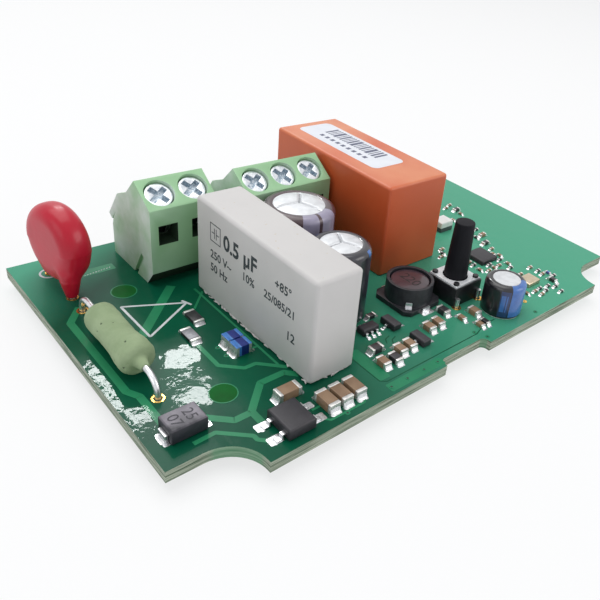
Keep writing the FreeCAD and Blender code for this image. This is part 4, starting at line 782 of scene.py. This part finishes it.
# Resin squeezed out along the foot of the long left face and of the front face.
SKIRT_RISE = 0.3
SKIRT_DEPTH = (0.15, 0.3)
SKIRT_HEIGHT = (0.12, 0.32)
SKIRT_REACH = (0.0, 0.25)
SKIRT_TURN = (-0.5, 0.5)
SIDE_LUMPS = 46
SIDE_LUMP_LENGTH = (0.5, 1.9)
FRONT_LUMPS = 14
FRONT_LUMP_LENGTH = (0.5, 1.8)
skirt_rows = []
for _ in range(SIDE_LUMPS):
    place = spot(FILM_SPAN[0] + lumps.uniform(*SKIRT_REACH), lumps.uniform(*FILM_FOOT), SKIRT_RISE)
    skirt_rows.append((place, (0, 0, lumps.uniform(*SKIRT_TURN)),
                       (lumps.uniform(*SKIRT_DEPTH) * MM, lumps.uniform(*SIDE_LUMP_LENGTH) * MM,
                        lumps.uniform(*SKIRT_HEIGHT) * MM)))
for _ in range(FRONT_LUMPS):
    place = spot(lumps.uniform(*FILM_SPAN), FILM_FOOT[0] + lumps.uniform(*SKIRT_REACH), SKIRT_RISE)
    skirt_rows.append((place, (0, 0, lumps.uniform(*SKIRT_TURN)),
                       (lumps.uniform(*FRONT_LUMP_LENGTH) * MM, lumps.uniform(*SKIRT_DEPTH) * MM,
                        lumps.uniform(*SKIRT_HEIGHT) * MM)))
set_out("film_foot_resin", plain_mesh("lump", small_lump), skirt_rows, pale_case)


# Relay.
# An orange thermoplastic cover over a black base with the coil, yoke, armature and
# contacts; a white paper label lies on the cover.
RELAY_TOP = 15.5
LABEL_LOW = (48.0, 28.8)
LABEL_HIGH = (54.9, 49.2)
LABEL_THICKNESS = 0.03
orange_cover = finish("orange_cover", (203, 86, 44), (210, 94, 50), 0.4, 10.0, grain=0.015, grain_size=0.12)
# The top clouds toward a pale peach: a painted sheen on the face that catches the overhead light.
frost_and_sheen(orange_cover, shade(240, 176, 132), (0.0, 0.0, 1.0), 16.0, 0.62)
softened("relay_cover", 0.2, orange_cover, segments=4, name="relay_hood")
black_moulding = finish("black_moulding", (18, 18, 22), (28, 28, 32), 0.42, 1.2, grain=0.02)
soft_iron = finish("soft_iron", (168, 168, 166), (186, 186, 184), 0.35, 1.0, metal=1.0)
enamelled_copper = finish("enamelled_copper", (168, 92, 44), (196, 116, 60), 0.32, 0.5, metal=0.8, grain=0.05)
contact_alloy = finish("contact_alloy", (206, 176, 110), (222, 196, 134), 0.3, 0.8, metal=1.0)
for node in ("relay_base", "relay_bobbin"):
    dress(node, black_moulding)
for node in ("relay_core", "relay_yoke", "relay_armature"):
    dress(node, soft_iron)
for node in ("relay_moving_contact", "relay_fixed_contact"):
    dress(node, contact_alloy)
dress("relay_coil", enamelled_copper)
dress("relay_pins", tinned)
label_paper = finish("label_paper", (226, 229, 236), (234, 236, 242), 0.6, 3.0, grain=0.01, grain_size=0.05)
LABEL_CORNER = 1.1
lay_plates("relay_label", [(LABEL_LOW, LABEL_HIGH)], label_paper, RELAY_TOP + SUNK,
           RELAY_TOP + LABEL_THICKNESS * 0.7, LABEL_CORNER)
label_ink = finish("label_ink", (86, 90, 112), (104, 108, 130), 0.6, 0.6)
BAR_WIDTHS = (0.5, 0.25, 0.25, 0.75, 0.25, 0.5, 0.25, 0.25, 0.5, 0.75, 0.25, 0.25, 0.5, 0.25, 0.75, 0.25,
              0.5, 0.5)
BAR_GAP = 0.34
BAR_SPAN = (51.3, 54.2)
BAR_START = 45.6
DASH_COUNT = 9
DASH_STEP = 1.4
DASH_LOW = (49.5, 44.2)
DASH_HIGH = (50.3, 44.95)
bars = []
bar_y = BAR_START
for bar in BAR_WIDTHS:
    bars.append(((BAR_SPAN[0], bar_y - bar), (BAR_SPAN[1], bar_y)))
    bar_y -= bar + BAR_GAP
for dash in range(DASH_COUNT):
    drop = DASH_STEP * dash
    bars.append(((DASH_LOW[0], DASH_LOW[1] - drop), (DASH_HIGH[0], DASH_HIGH[1] - drop)))
lay_plates("relay_label_bars", bars, label_ink, RELAY_TOP, RELAY_TOP + LABEL_THICKNESS, 0.02)


# Varistor.
# A zinc oxide disc dipped in red lacquer, which draws down both leads as necks.
SMOOTH_ANGLE = 80.0
SMOOTHING = 0.5
NECK_HEIGHTS = (3.0, 7.0)
NECK_ROUNDS = 90


def melted(node, voxel, rounds):
    """A copy of a CAD node's mesh melted into one smooth skin."""
    def copy(shape):
        shape.from_mesh(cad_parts[node].data)
    holder = placed(node + "_skin", plain_mesh(node + "_skin", copy))
    remesh = holder.modifiers.new("skin", "REMESH")
    remesh.mode = "VOXEL"
    remesh.voxel_size = voxel * MM
    smooth = holder.modifiers.new("flow", "SMOOTH")
    smooth.factor = SMOOTHING
    smooth.iterations = rounds
    return finished_mesh(holder, node + "_skin")


def flow_together(mesh, low, high, rounds):
    """Let the skin between two heights run smooth, as wet lacquer does in a corner."""
    shape = bmesh.new()
    shape.from_mesh(mesh)
    near = [vertex for vertex in shape.verts if spot(0, 0, low).z < vertex.co.z < spot(0, 0, high).z]
    for _ in range(rounds):
        bmesh.ops.smooth_vert(shape, verts=near, factor=SMOOTHING, use_axis_x=True, use_axis_y=True,
                              use_axis_z=True)
    shape.to_mesh(mesh)
    shape.free()


red_lacquer = finish("red_lacquer", (184, 8, 40), (192, 12, 46), 0.36, 5.0, coat=0.15, sheen=0.35, grain=0.03,
                     grain_size=1.2)
lacquer = melted("varistor_body", 0.16, 14)
flow_together(lacquer, *NECK_HEIGHTS, NECK_ROUNDS)
add_piece("varistor_lacquer", lacquer, red_lacquer, ("varistor_body",), SMOOTH_ANGLE)
dress("varistor_leads", tinned)


# Power resistor.
# Resistance wire on a ceramic rod under matte green cement, on two bent tinned leads.
PIT_SPACING = 1.15
PIT_DEPTH = 0.16
PIT_RADIUS = 0.2
PIT_FLOOR = 0.11
SWELLINGS = ((0.05, 0.9), (0.02, 3.2))
green_cement = finish("green_cement", (144, 163, 124), (158, 176, 138), 0.9, 2.5, grain=0.1, grain_size=0.3)
cement = melted("power_resistor_body", 0.13, 8)
for vertex in cement.vertices:
    place = vertex.co / MM
    pit = PIT_DEPTH * max(0.0, 1.0 - noise.voronoi(place / PIT_SPACING)[0][0] / PIT_RADIUS)
    swelling = sum(height * noise.noise(place * scale) for height, scale in SWELLINGS)
    vertex.co += vertex.normal * (swelling - pit) * MM
resistor = add_piece("resistor_cement", cement, green_cement, ("power_resistor_body",),
                     SMOOTH_ANGLE)
# Faces in the pits are painted darker: painted shade in the pinholes.
cement_pit_painted_shade = finish("cement_pit_painted_shade", (84, 98, 72), (96, 110, 84), 0.95, 0.5)
paint_faces(resistor, cement_pit_painted_shade, lambda middle: noise.voronoi(middle / MM / PIT_SPACING)[0][0] < PIT_FLOOR)
dress("power_resistor_leads", tinned)


# Electrolytic capacitors.
# Drawn aluminium cans in shrunk plastic sleeves, brown, blue-black and black, with rubber
# bungs below; the bare tops of the two larger cans are scored for venting.
brown_sleeve = finish("brown_sleeve", (66, 48, 54), (80, 60, 66), 0.32, 2.0, coat=0.3)
lilac_print = finish("lilac_print", (146, 140, 162), (158, 152, 174), 0.4, 1.0, coat=0.3)
dark_sleeve = finish("blue_black_sleeve", (30, 30, 38), (44, 44, 54), 0.3, 2.0, coat=0.4)
blue_print = finish("blue_print", (54, 100, 170), (66, 114, 186), 0.35, 1.0, coat=0.4)
navy_print = finish("navy_print", (30, 50, 96), (38, 60, 110), 0.35, 0.8, coat=0.4)
black_sleeve = finish("black_sleeve", (16, 16, 24), (26, 26, 34), 0.3, 2.0, coat=0.4)
bare_can = finish("bare_can", (206, 208, 211), (222, 224, 227), 0.45, 1.0, metal=0.3)
# A grey for the scored grooves on the can tops, as painted shade.
groove_painted_shade = finish("scored_groove_painted_shade", (132, 134, 138), (160, 162, 166), 0.5, 0.8, metal=0.3)
rubber = finish("bung_rubber", (28, 28, 28), (38, 38, 38), 0.8, 0.6)
foil_roll = finish("foil_roll", (168, 160, 142), (186, 178, 160), 0.7, 0.6)
dress("electrolytic_cans", bare_can)
dress("electrolytic_bungs", rubber)
dress("electrolytic_elements", foil_roll)
dress("electrolytic_leads", tinned)
SLEEVE_WALL = 0.11
SLEEVE_LIP = 0.16
SHOULDER_STEPS = 8
WALL_STEPS = 10
SLEEVE_STEPS = 120
FOOT_SEAT = 1.3
WALL_START = 2.0


def sleeve_profile(radius, height, disc, rounding):
    """A shrunk sleeve's section: outside up over the rounded shoulder to the bare disc, and back inside."""
    shoulder = height - rounding
    outside = [(radius - 0.05, SLEEVE_LIP), (radius, SLEEVE_LIP + 0.25), (radius - 0.03, FOOT_SEAT)]
    outside += [(radius, WALL_START + (shoulder - WALL_START) * step / WALL_STEPS)
                for step in range(WALL_STEPS)]
    for step in range(SHOULDER_STEPS + 1):
        angle = math.pi / 2 * step / SHOULDER_STEPS
        outside.append((radius - rounding + rounding * math.cos(angle),
                        shoulder + rounding * math.sin(angle)))
    outside += [(disc + 0.12, height - 0.01), (disc, height - 0.06)]
    inner = radius - SLEEVE_WALL
    inside = [(disc, height - SLEEVE_WALL), (radius - 0.82, height - SLEEVE_WALL),
              (radius - 0.34, height - 0.34), (inner, height - 0.82), (inner, SLEEVE_LIP)]
    return outside + inside


def sleeve(node, name, x, y, radius, height, disc, rounding, material, slot, bands):
    """A sleeve round a can, with bands of print between two directions and two heights."""
    def build(shape):
        turned(shape, x, y, sleeve_profile(radius, height, disc, rounding), SLEEVE_STEPS)
    piece = add_piece(name, plain_mesh(name, build), material, (node,), sharp=50.0)
    axis = spot(x, y)
    for ink, ranges in bands:
        def inside(middle, ranges=ranges):
            way = math.degrees(math.atan2(middle.y - axis.y, middle.x - axis.x)) % 360
            rise = (middle.z - axis.z) / MM
            return any(low <= way <= high and bottom <= rise <= top for low, high, bottom, top in ranges)
        paint_faces(piece, ink, inside)


DISC_RINGS = 30
DISC_STEPS = 180
DISC_SINK = 0.05
DISC_BACK = 0.14
GROOVE_SPREAD = 0.2
GROOVE_DEPTH = 0.1
GROOVE_OVERRUN = 0.1
GROOVE_FLOOR = -0.06
GROOVE_PAINT = (0.1, 0.93)


def by_groove(across, way):
    """How far a place on a can's top lies along a groove and beside it."""
    turn = math.radians(way)
    return (across.x * math.cos(turn) + across.y * math.sin(turn),
            across.x * math.sin(turn) - across.y * math.cos(turn))


def vented_disc(name, x, y, radius, height, grooves, pillow):
    """The bare top of a can, pressed into pillows between its scored grooves."""
    centre = spot(x, y)

    def build(shape):
        top = [(radius * step / DISC_RINGS, height - DISC_SINK) for step in range(DISC_RINGS + 1)]
        turned(shape, x, y, [(0, height - DISC_BACK), (radius, height - DISC_BACK)] + top[::-1], DISC_STEPS)
        for vertex in shape.verts:
            if vertex.co.z < spot(0, 0, height - (DISC_SINK + DISC_BACK) / 2).z:
                continue
            across = (vertex.co - centre) / MM
            out = math.hypot(across.x, across.y) / radius
            rise = pillow * (1.0 - out ** 4)
            for way in grooves:
                along, aside = by_groove(across, way)
                if along > -GROOVE_OVERRUN:
                    rise -= ((pillow + GROOVE_DEPTH) * math.exp(-(aside / GROOVE_SPREAD) ** 2)
                             * max(0.0, 1.0 - out ** 8))
            vertex.co.z += max(rise, GROOVE_FLOOR) * MM

    def scored(middle):
        places = [by_groove((middle - centre) / MM, way) for way in grooves]
        return any(0.0 < along < radius * GROOVE_PAINT[1] and abs(aside) < GROOVE_PAINT[0]
                   for along, aside in places)

    piece = add_piece(name, plain_mesh(name, build), bare_can, sharp=70.0)
    # Faces along the grooves are painted grey: painted shade in the scored grooves.
    paint_faces(piece, groove_painted_shade, scored)


LARGE_CAN = (33.9, 29.4)
MEDIUM_CAN = (33.0, 18.4)
SMALL_CAN = (55.2, 4.9)
sleeve("large_electrolytic_sleeve", "brown_can_sleeve", *LARGE_CAN, 5.45, 12.5, 3.85, 1.1, brown_sleeve,
       "brown_sleeve", [(lilac_print, [(239, 268, 1.0, 12.6), (273, 307, 1.0, 12.6)])])
vented_disc("large_can_vent", *LARGE_CAN, 3.83, 12.5, (52, 172, 292), 0.3)
sleeve("medium_electrolytic_sleeve", "dark_can_sleeve", *MEDIUM_CAN, 4.35, 11.4, 3.0, 0.95, dark_sleeve,
       "dark_sleeve", [(blue_print, [(start, start + 12, 10.4, 11.25) for start in (294, 15, 98, 227)]),
                       (navy_print, [(307, 313, 1.0, 10.3)])])
vented_disc("medium_can_vent", *MEDIUM_CAN, 2.98, 11.4, (62, 182, 302), 0.26)
sleeve("small_electrolytic_sleeve", "small_can_sleeve", *SMALL_CAN, 3.2, 5.5, 2.15, 0.8, black_sleeve,
       "dark_sleeve", [(blue_print, [(238, 316, 0.4, 5.6)]), (navy_print, [(207, 235, 0.4, 4.9)]),
                       (blue_print, [(211, 222, 1.3, 4.2), (225, 229, 1.3, 4.2)])])
vented_disc("small_can_top", *SMALL_CAN, 2.13, 5.5, (), 0.03)


# Power inductor.
# A copper-wound ferrite drum in a ferrite ring on a square foot, with tinned clips.
INDUCTOR = (44.4, 14.75)
ferrite = finish("ferrite", (28, 29, 35), (40, 41, 47), 0.45, 1.0, grain=0.03)
drum_face = finish("lacquered_ferrite", (58, 42, 50), (70, 52, 60), 0.3, 1.5, coat=0.4)
softened("inductor_shield", 0.16, ferrite, segments=4, name="inductor_ring")
softened("inductor_core", 0.1, drum_face, name="inductor_drum")
drum_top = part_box("inductor_core")[1][2] / MM - BOARD_TOP
DRUM_FIGURES = ("220", 1.7, (-0.75, 1.75))


def drum_figures(shape):
    """The value of the inductor in large figures on its drum."""
    words, tall, (along, across) = DRUM_FIGURES
    start = spot(INDUCTOR[0] + along, INDUCTOR[1] + across, drum_top + PRINT_LIFT)
    letters(shape, words, tall, start, Vector((0, -1, 0)), Vector((1, 0, 0)))


drum_ink = finish("drum_ink", (14, 8, 10), (20, 12, 15), 0.6, 0.6)
add_piece("drum_figures", plain_mesh("drum_figures", drum_figures), drum_ink)
dress("inductor_winding", enamelled_copper)
dress("inductor_terminals", tinned)
lay_plates("inductor_pads", [((43.3, 9.95), (45.6, 11.2)), ((43.3, 18.3), (45.6, 19.55))], tinned, SUNK, 0.06,
           0.2)


TAG_WAYS = (227, 47)
TAG_BLOCKS = ((0.75, 1.75, 3.66), (0.8, 1.0, 4.15))
TAG_FROM = 3.4
TAG_THICKNESS = 0.18
TAG_EDGE = 0.07


def ring_tags(shape):
    """Two small tags crimped over the foot of the ring, one toward the front and one behind."""
    for way in TAG_WAYS:
        toward = Vector((math.cos(math.radians(way)), math.sin(math.radians(way)), 0.0))
        across = Vector((-toward.y, toward.x, 0.0))
        for low, high, out in TAG_BLOCKS:
            corners = []
            for side in (-0.5, 0.5):
                for reach in (TAG_FROM, out + TAG_THICKNESS):
                    for z in (low, high):
                        base = spot(*INDUCTOR, z)
                        corners.append(shape.verts.new(base + (across * side + toward * reach) * MM))
            a, b, c, d, e, f, g, h = corners
            for loop in ((a, b, d, c), (e, g, h, f), (a, e, f, b), (c, d, h, g), (a, c, g, e), (b, f, h, d)):
                shape.faces.new(loop)
    bmesh.ops.bevel(shape, geom=shape.edges[:], offset=TAG_EDGE * MM, segments=2, affect="EDGES")


add_piece("inductor_tags", plain_mesh("inductor_tags", ring_tags), tinned)


# Push switch.
# A black moulded housing with a bright steel cover held by four pegs, a snap dome inside
# and a long tapered plunger.
plate_steel = finish("plate_steel", (228, 230, 233), (240, 241, 243), 0.4, 1.5, metal=0.1)
shaft_black = finish("shaft_black", (20, 20, 25), (26, 26, 31), 0.6, 2.0, grain=0.015, sheen=0.15)
softened("switch_housing", 0.08, black_moulding, name="switch_shell")
softened("switch_cover_plate", 0.06, plate_steel, name="switch_plate")
softened("switch_plunger", 0.18, shaft_black, segments=4, name="switch_shaft", body="switch_button")
dress("switch_dome", plate_steel)
dress("switch_legs", tinned)


# Diode, bridge and small packages.
# Black epoxy mouldings with their top edges sloped for release, on tinned gull-wing leads
# that stand in small pools of solder on their pads.
black_epoxy = finish("black_epoxy", (34, 32, 38), (44, 42, 48), 0.5, 1.0, grain=0.015, grain_size=0.08)
marked_epoxy = finish("marked_epoxy", (36, 36, 44), (46, 46, 54), 0.5, 1.0, grain=0.015, grain_size=0.08)
frost_and_sheen(marked_epoxy, shade(158, 152, 162), (0.0, 0.0, 1.0), 2.4, 0.75)
for node, epoxy in (("diode_body", marked_epoxy), ("bridge_body", black_epoxy),
                    ("small_packages", black_epoxy)):
    softened(node, 0.06, epoxy, name=node + "_epoxy")
diode_low, diode_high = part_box("diode_body")
DIODE_FIGURES = (("25", 0.53), ("07", 0.12))
DIODE_FIGURES_TALL = 1.3
DIODE_MARGIN = 0.75


def diode_marks(shape):
    """Two rows of small figures on the diode's top."""
    for words, share in DIODE_FIGURES:
        start = Vector((diode_low[0] + share * (diode_high[0] - diode_low[0]),
                        diode_high[1] - DIODE_MARGIN * MM, diode_high[2] + PRINT_LIFT * MM))
        letters(shape, words, DIODE_FIGURES_TALL, start, Vector((0, -1, 0)), Vector((1, 0, 0)))


mark_ink = finish("mark_ink", (40, 40, 48), (60, 58, 66), 0.6, 0.5)
add_piece("diode_marks", plain_mesh("diode_marks", diode_marks), mark_ink)
softened("package_leads", 0.04, tinned, name="gull_wing_leads")
softened("diode_tabs", 0.06, tinned, name="diode_clips")


RAMP_STEPS = 6
RAMP_SECTION = [(-0.5, 0.0), (-0.42, 0.8), (-0.2, 0.97), (0.2, 0.97), (0.42, 0.8), (0.5, 0.0)]
RAMP_SIDES = (-0.5, 0.5)
RAMP_NARROWING = 0.25
RAMP_HOLLOW = 2.2
RAMP_SUNK = -0.02


def solder_ramp(shape):
    """A concave ramp of solder of unit length, width and height, running out along x."""
    upper = []
    lower = []
    for step in range(RAMP_STEPS + 1):
        t = step / RAMP_STEPS
        narrow = 1 - RAMP_NARROWING * t * t
        upper.append([shape.verts.new((t, y * narrow, rise * (1 - t) ** RAMP_HOLLOW))
                      for y, rise in RAMP_SECTION])
        lower.append([shape.verts.new((t, side * narrow, RAMP_SUNK)) for side in RAMP_SIDES])
    for near, far, low_near, low_far in zip(upper, upper[1:], lower, lower[1:]):
        for number in range(len(RAMP_SECTION) - 1):
            shape.faces.new((near[number], near[number + 1], far[number + 1], far[number]))
        shape.faces.new((near[0], far[0], low_far[0], low_near[0]))
        shape.faces.new((near[-1], low_near[1], low_far[1], far[-1]))
        shape.faces.new((low_near[0], low_far[0], low_far[1], low_near[1]))
    shape.faces.new(upper[0] + [lower[0][1], lower[0][0]])
    shape.faces.new(upper[-1][::-1] + [lower[-1][0], lower[-1][1]])


bright_solder = finish("bright_solder", (206, 208, 212), (230, 230, 232), 0.26, 0.4, metal=0.85, grain=0.004,
                       grain_size=0.25)
SOLDER_OVERLAP = 0.04
RAMP_PER_HEIGHT = 0.75
RAMP_ALLOWANCE = 0.1
WETTED_SHARE = 0.8


def islands(node):
    """The separate solids of a CAD node, as the lowest and highest corner of each."""
    shape = merged_solid(node)
    waiting = set(shape.verts)
    boxes = []
    while waiting:
        front = [waiting.pop()]
        corners = []
        while front:
            vertex = front.pop()
            corners.append(vertex.co.copy())
            for edge in vertex.link_edges:
                other = edge.other_vert(vertex)
                if other in waiting:
                    waiting.discard(other)
                    front.append(other)
        low = Vector([min(c[axis] for c in corners) for axis in range(3)])
        high = Vector([max(c[axis] for c in corners) for axis in range(3)])
        boxes.append((low, high))
    shape.free()
    return sorted(boxes, key=lambda pair: (round(pair[0].x, 6), round(pair[0].y, 6)))


def solder_rows(ends, bodies, reach, rise, wider):
    """A ramp for each end of a lead or chip, running out from the body that it belongs to."""
    rows = []
    for low, high in ends:
        middle = (low + high) / 2
        body_low, body_high = min(bodies, key=lambda pair: ((pair[0] + pair[1]) / 2 - middle).length)
        away = middle - (body_low + body_high) / 2
        size = high - low
        span = body_high - body_low
        if abs(away.x) / max(span.x, 1e-6) > abs(away.y) / max(span.y, 1e-6):
            way = 0.0 if away.x > 0 else math.pi
            foot = Vector((high.x if away.x > 0 else low.x, middle.y, 0.0))
            width = size.y
        else:
            way = math.pi / 2 if away.y > 0 else -math.pi / 2
            foot = Vector((middle.x, high.y if away.y > 0 else low.y, 0.0))
            width = size.x
        out = Vector((math.cos(way), math.sin(way), 0.0))
        foot = foot - out * SOLDER_OVERLAP * MM
        foot.z = BOARD_TOP * MM
        length = min(reach * MM, size.z * RAMP_PER_HEIGHT + RAMP_ALLOWANCE * MM)
        wetted = min(rise * MM, size.z * WETTED_SHARE)
        rows.append((foot, (0.0, 0.0, way), (length, width * wider, wetted)))
    return rows


package_bodies = islands("small_packages") + islands("bridge_body")
lead_rows = solder_rows(islands("package_leads"), package_bodies, 0.4, 0.22, 1.5)
lead_rows += solder_rows(islands("diode_tabs"), islands("diode_body"), 0.45, 0.3, 1.0)
set_out("lead_solder", plain_mesh("ramp", solder_ramp), lead_rows, bright_solder)
lay_plates("package_pads", [((10.6, 4.35), (12.4, 5.55)), ((10.6, 1.75), (12.4, 3.05)),
                            ((16.6, 4.1), (18.4, 5.15)), ((16.6, 1.65), (18.4, 2.9)),
                            ((1.5, 8.35), (2.6, 10.6)), ((6.2, 8.35), (7.3, 10.6))],
           bright_solder, SUNK, 0.03, 0.2)


# Crystal and lamp.
# A plated lid on a ceramic tray, and a white moulded light-emitting chip on a grey base.
ZONE_BLUR = 0.02


def zoned(material, colour, axis, centre, reach):
    """A second colour beyond a distance from a plane across an axis."""
    tree = material.node_tree
    parts = add_node(tree, "ShaderNodeSeparateXYZ", {"Vector": object_place(tree)["Object"]}).outputs
    distance = worked_out(tree, "ABSOLUTE", worked_out(tree, "SUBTRACT", parts[axis], centre))
    lay_over(material, ranged(tree, distance, reach - ZONE_BLUR * MM, reach + ZONE_BLUR * MM), colour)


crystal_lid = finish("crystal_lid", (190, 176, 150), (206, 192, 168), 0.3, 1.0, metal=0.7)
white_moulding = finish("white_moulding", (226, 228, 226), (234, 236, 234), 0.45, 1.0)
lamp_low, lamp_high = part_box("indicator_led")
LAMP_SHARE = 0.55
zoned(white_moulding, shade(74, 78, 82), "Z", lamp_high[2], LAMP_SHARE * (lamp_high[2] - lamp_low[2]))
softened("crystal", 0.08, crystal_lid, name="crystal_can")
softened("indicator_led", 0.12, white_moulding, name="signal_lamp")


# Chip capacitors and resistors.
# Fired ceramic blocks between tinned end caps, each held by two concave solder fillets.
tan_ceramic = finish("tan_ceramic", (138, 110, 86), (152, 124, 98), 0.5, 1.5, grain=0.01)
black_glaze = finish("black_glaze", (42, 41, 45), (52, 50, 54), 0.35, 1.0)
blue_glaze = finish("blue_glaze", (26, 42, 122), (34, 52, 136), 0.3, 1.5, coat=0.3)
cap_tin = finish("cap_tin", (208, 207, 206), (230, 229, 226), 0.34, 0.5, metal=0.7, grain=0.006,
                 grain_size=0.15)
blue_low, blue_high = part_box("blue_chips")
BLUE_STRIPE = 0.3
zoned(blue_glaze, shade(66, 128, 204), "X", (blue_low[0] + blue_high[0]) / 2,
      (blue_high[0] - blue_low[0]) / 2 - BLUE_STRIPE * MM)
softened("ceramic_capacitors", 0.05, tan_ceramic, name="ceramic_blocks")
glazed = softened("chip_resistors", 0.04, black_glaze, name="glazed_blocks")
silver_glaze = finish("silver_glaze", (128, 127, 133), (150, 149, 155), 0.4, 0.5, metal=0.2)
silver_chip = spot(13.2, 24.1)
SILVER_REACH = (1.2, 0.85)
SILVER_ABOVE = 0.4


def beside(middle, place, reach):
    """Whether a face's middle lies within a reach of a place, along the board and across it."""
    return abs(middle.x - place.x) < reach[0] * MM and abs(middle.y - place.y) < reach[1] * MM


paint_faces(glazed, silver_glaze, lambda middle: beside(middle, silver_chip, SILVER_REACH)
            and middle.z > silver_chip.z + SILVER_ABOVE * MM)
softened("blue_chips", 0.06, blue_glaze, name="blue_blocks")
end_caps = softened("chip_ends", 0.07, cap_tin, name="tinned_end_caps")
blue_edge = finish("blue_glass_edge", (62, 124, 202), (74, 138, 214), 0.3, 0.8, coat=0.3)
blue_places = [(low + high) / 2 for low, high in islands("blue_chips")]
BLUE_REACH = (1.7, 0.9)
BLUE_RISE = 0.55
blue_above = blue_low[2] + BLUE_RISE * (blue_high[2] - blue_low[2])
paint_faces(end_caps, blue_edge, lambda middle: middle.z > blue_above
            and any(beside(middle, place, BLUE_REACH) for place in blue_places))
chip_blocks = islands("ceramic_capacitors") + islands("chip_resistors") + islands("blue_chips")
set_out("chip_fillets", plain_mesh("ramp", solder_ramp),
        solder_rows(islands("chip_ends"), chip_blocks, 0.55, 0.9, 1.08), bright_solder)


# Solder joints under the board.
# Each lead ends in a bright cone of solder that wets it up to the clipped tip, on a round
# pad, and broad tracks join the pads below.
BOARD_UNDER = -1.6
PAD_HOLE = 0.8
PAD_RIM = 0.25
dress("solder_joints", tinned)
under_rows = []
for low, high in islands("solder_joints"):
    middle = (low + high) / 2 / MM
    radius = max(high.x - low.x, high.y - low.y) / 2 / MM
    under_rows.append((middle.x + BOARD_LENGTH / 2, middle.y + BOARD_WIDTH / 2, radius * PAD_HOLE,
                       radius + PAD_RIM))
lay_rings("under_pads", under_rows, gold_pad, top=BOARD_UNDER + 0.01,
          bottom=BOARD_UNDER - 0.03)
lay_strips("under_tracks", [
    [(4.5, 36.9), (4.6, 40.55)], [(4.5, 15.7), (4.5, 8.0), (12.0, 4.0), (40.0, 4.0)],
    [(49.3, 8.85), (54.3, 8.85)], [(49.3, 15.35), (54.3, 15.35)],
    [(60.0, 10.0), (78.0, 10.0), (78.0, 44.0)],
], 1.4, GAP_THICKNESS, bare_gap, height=BOARD_UNDER)
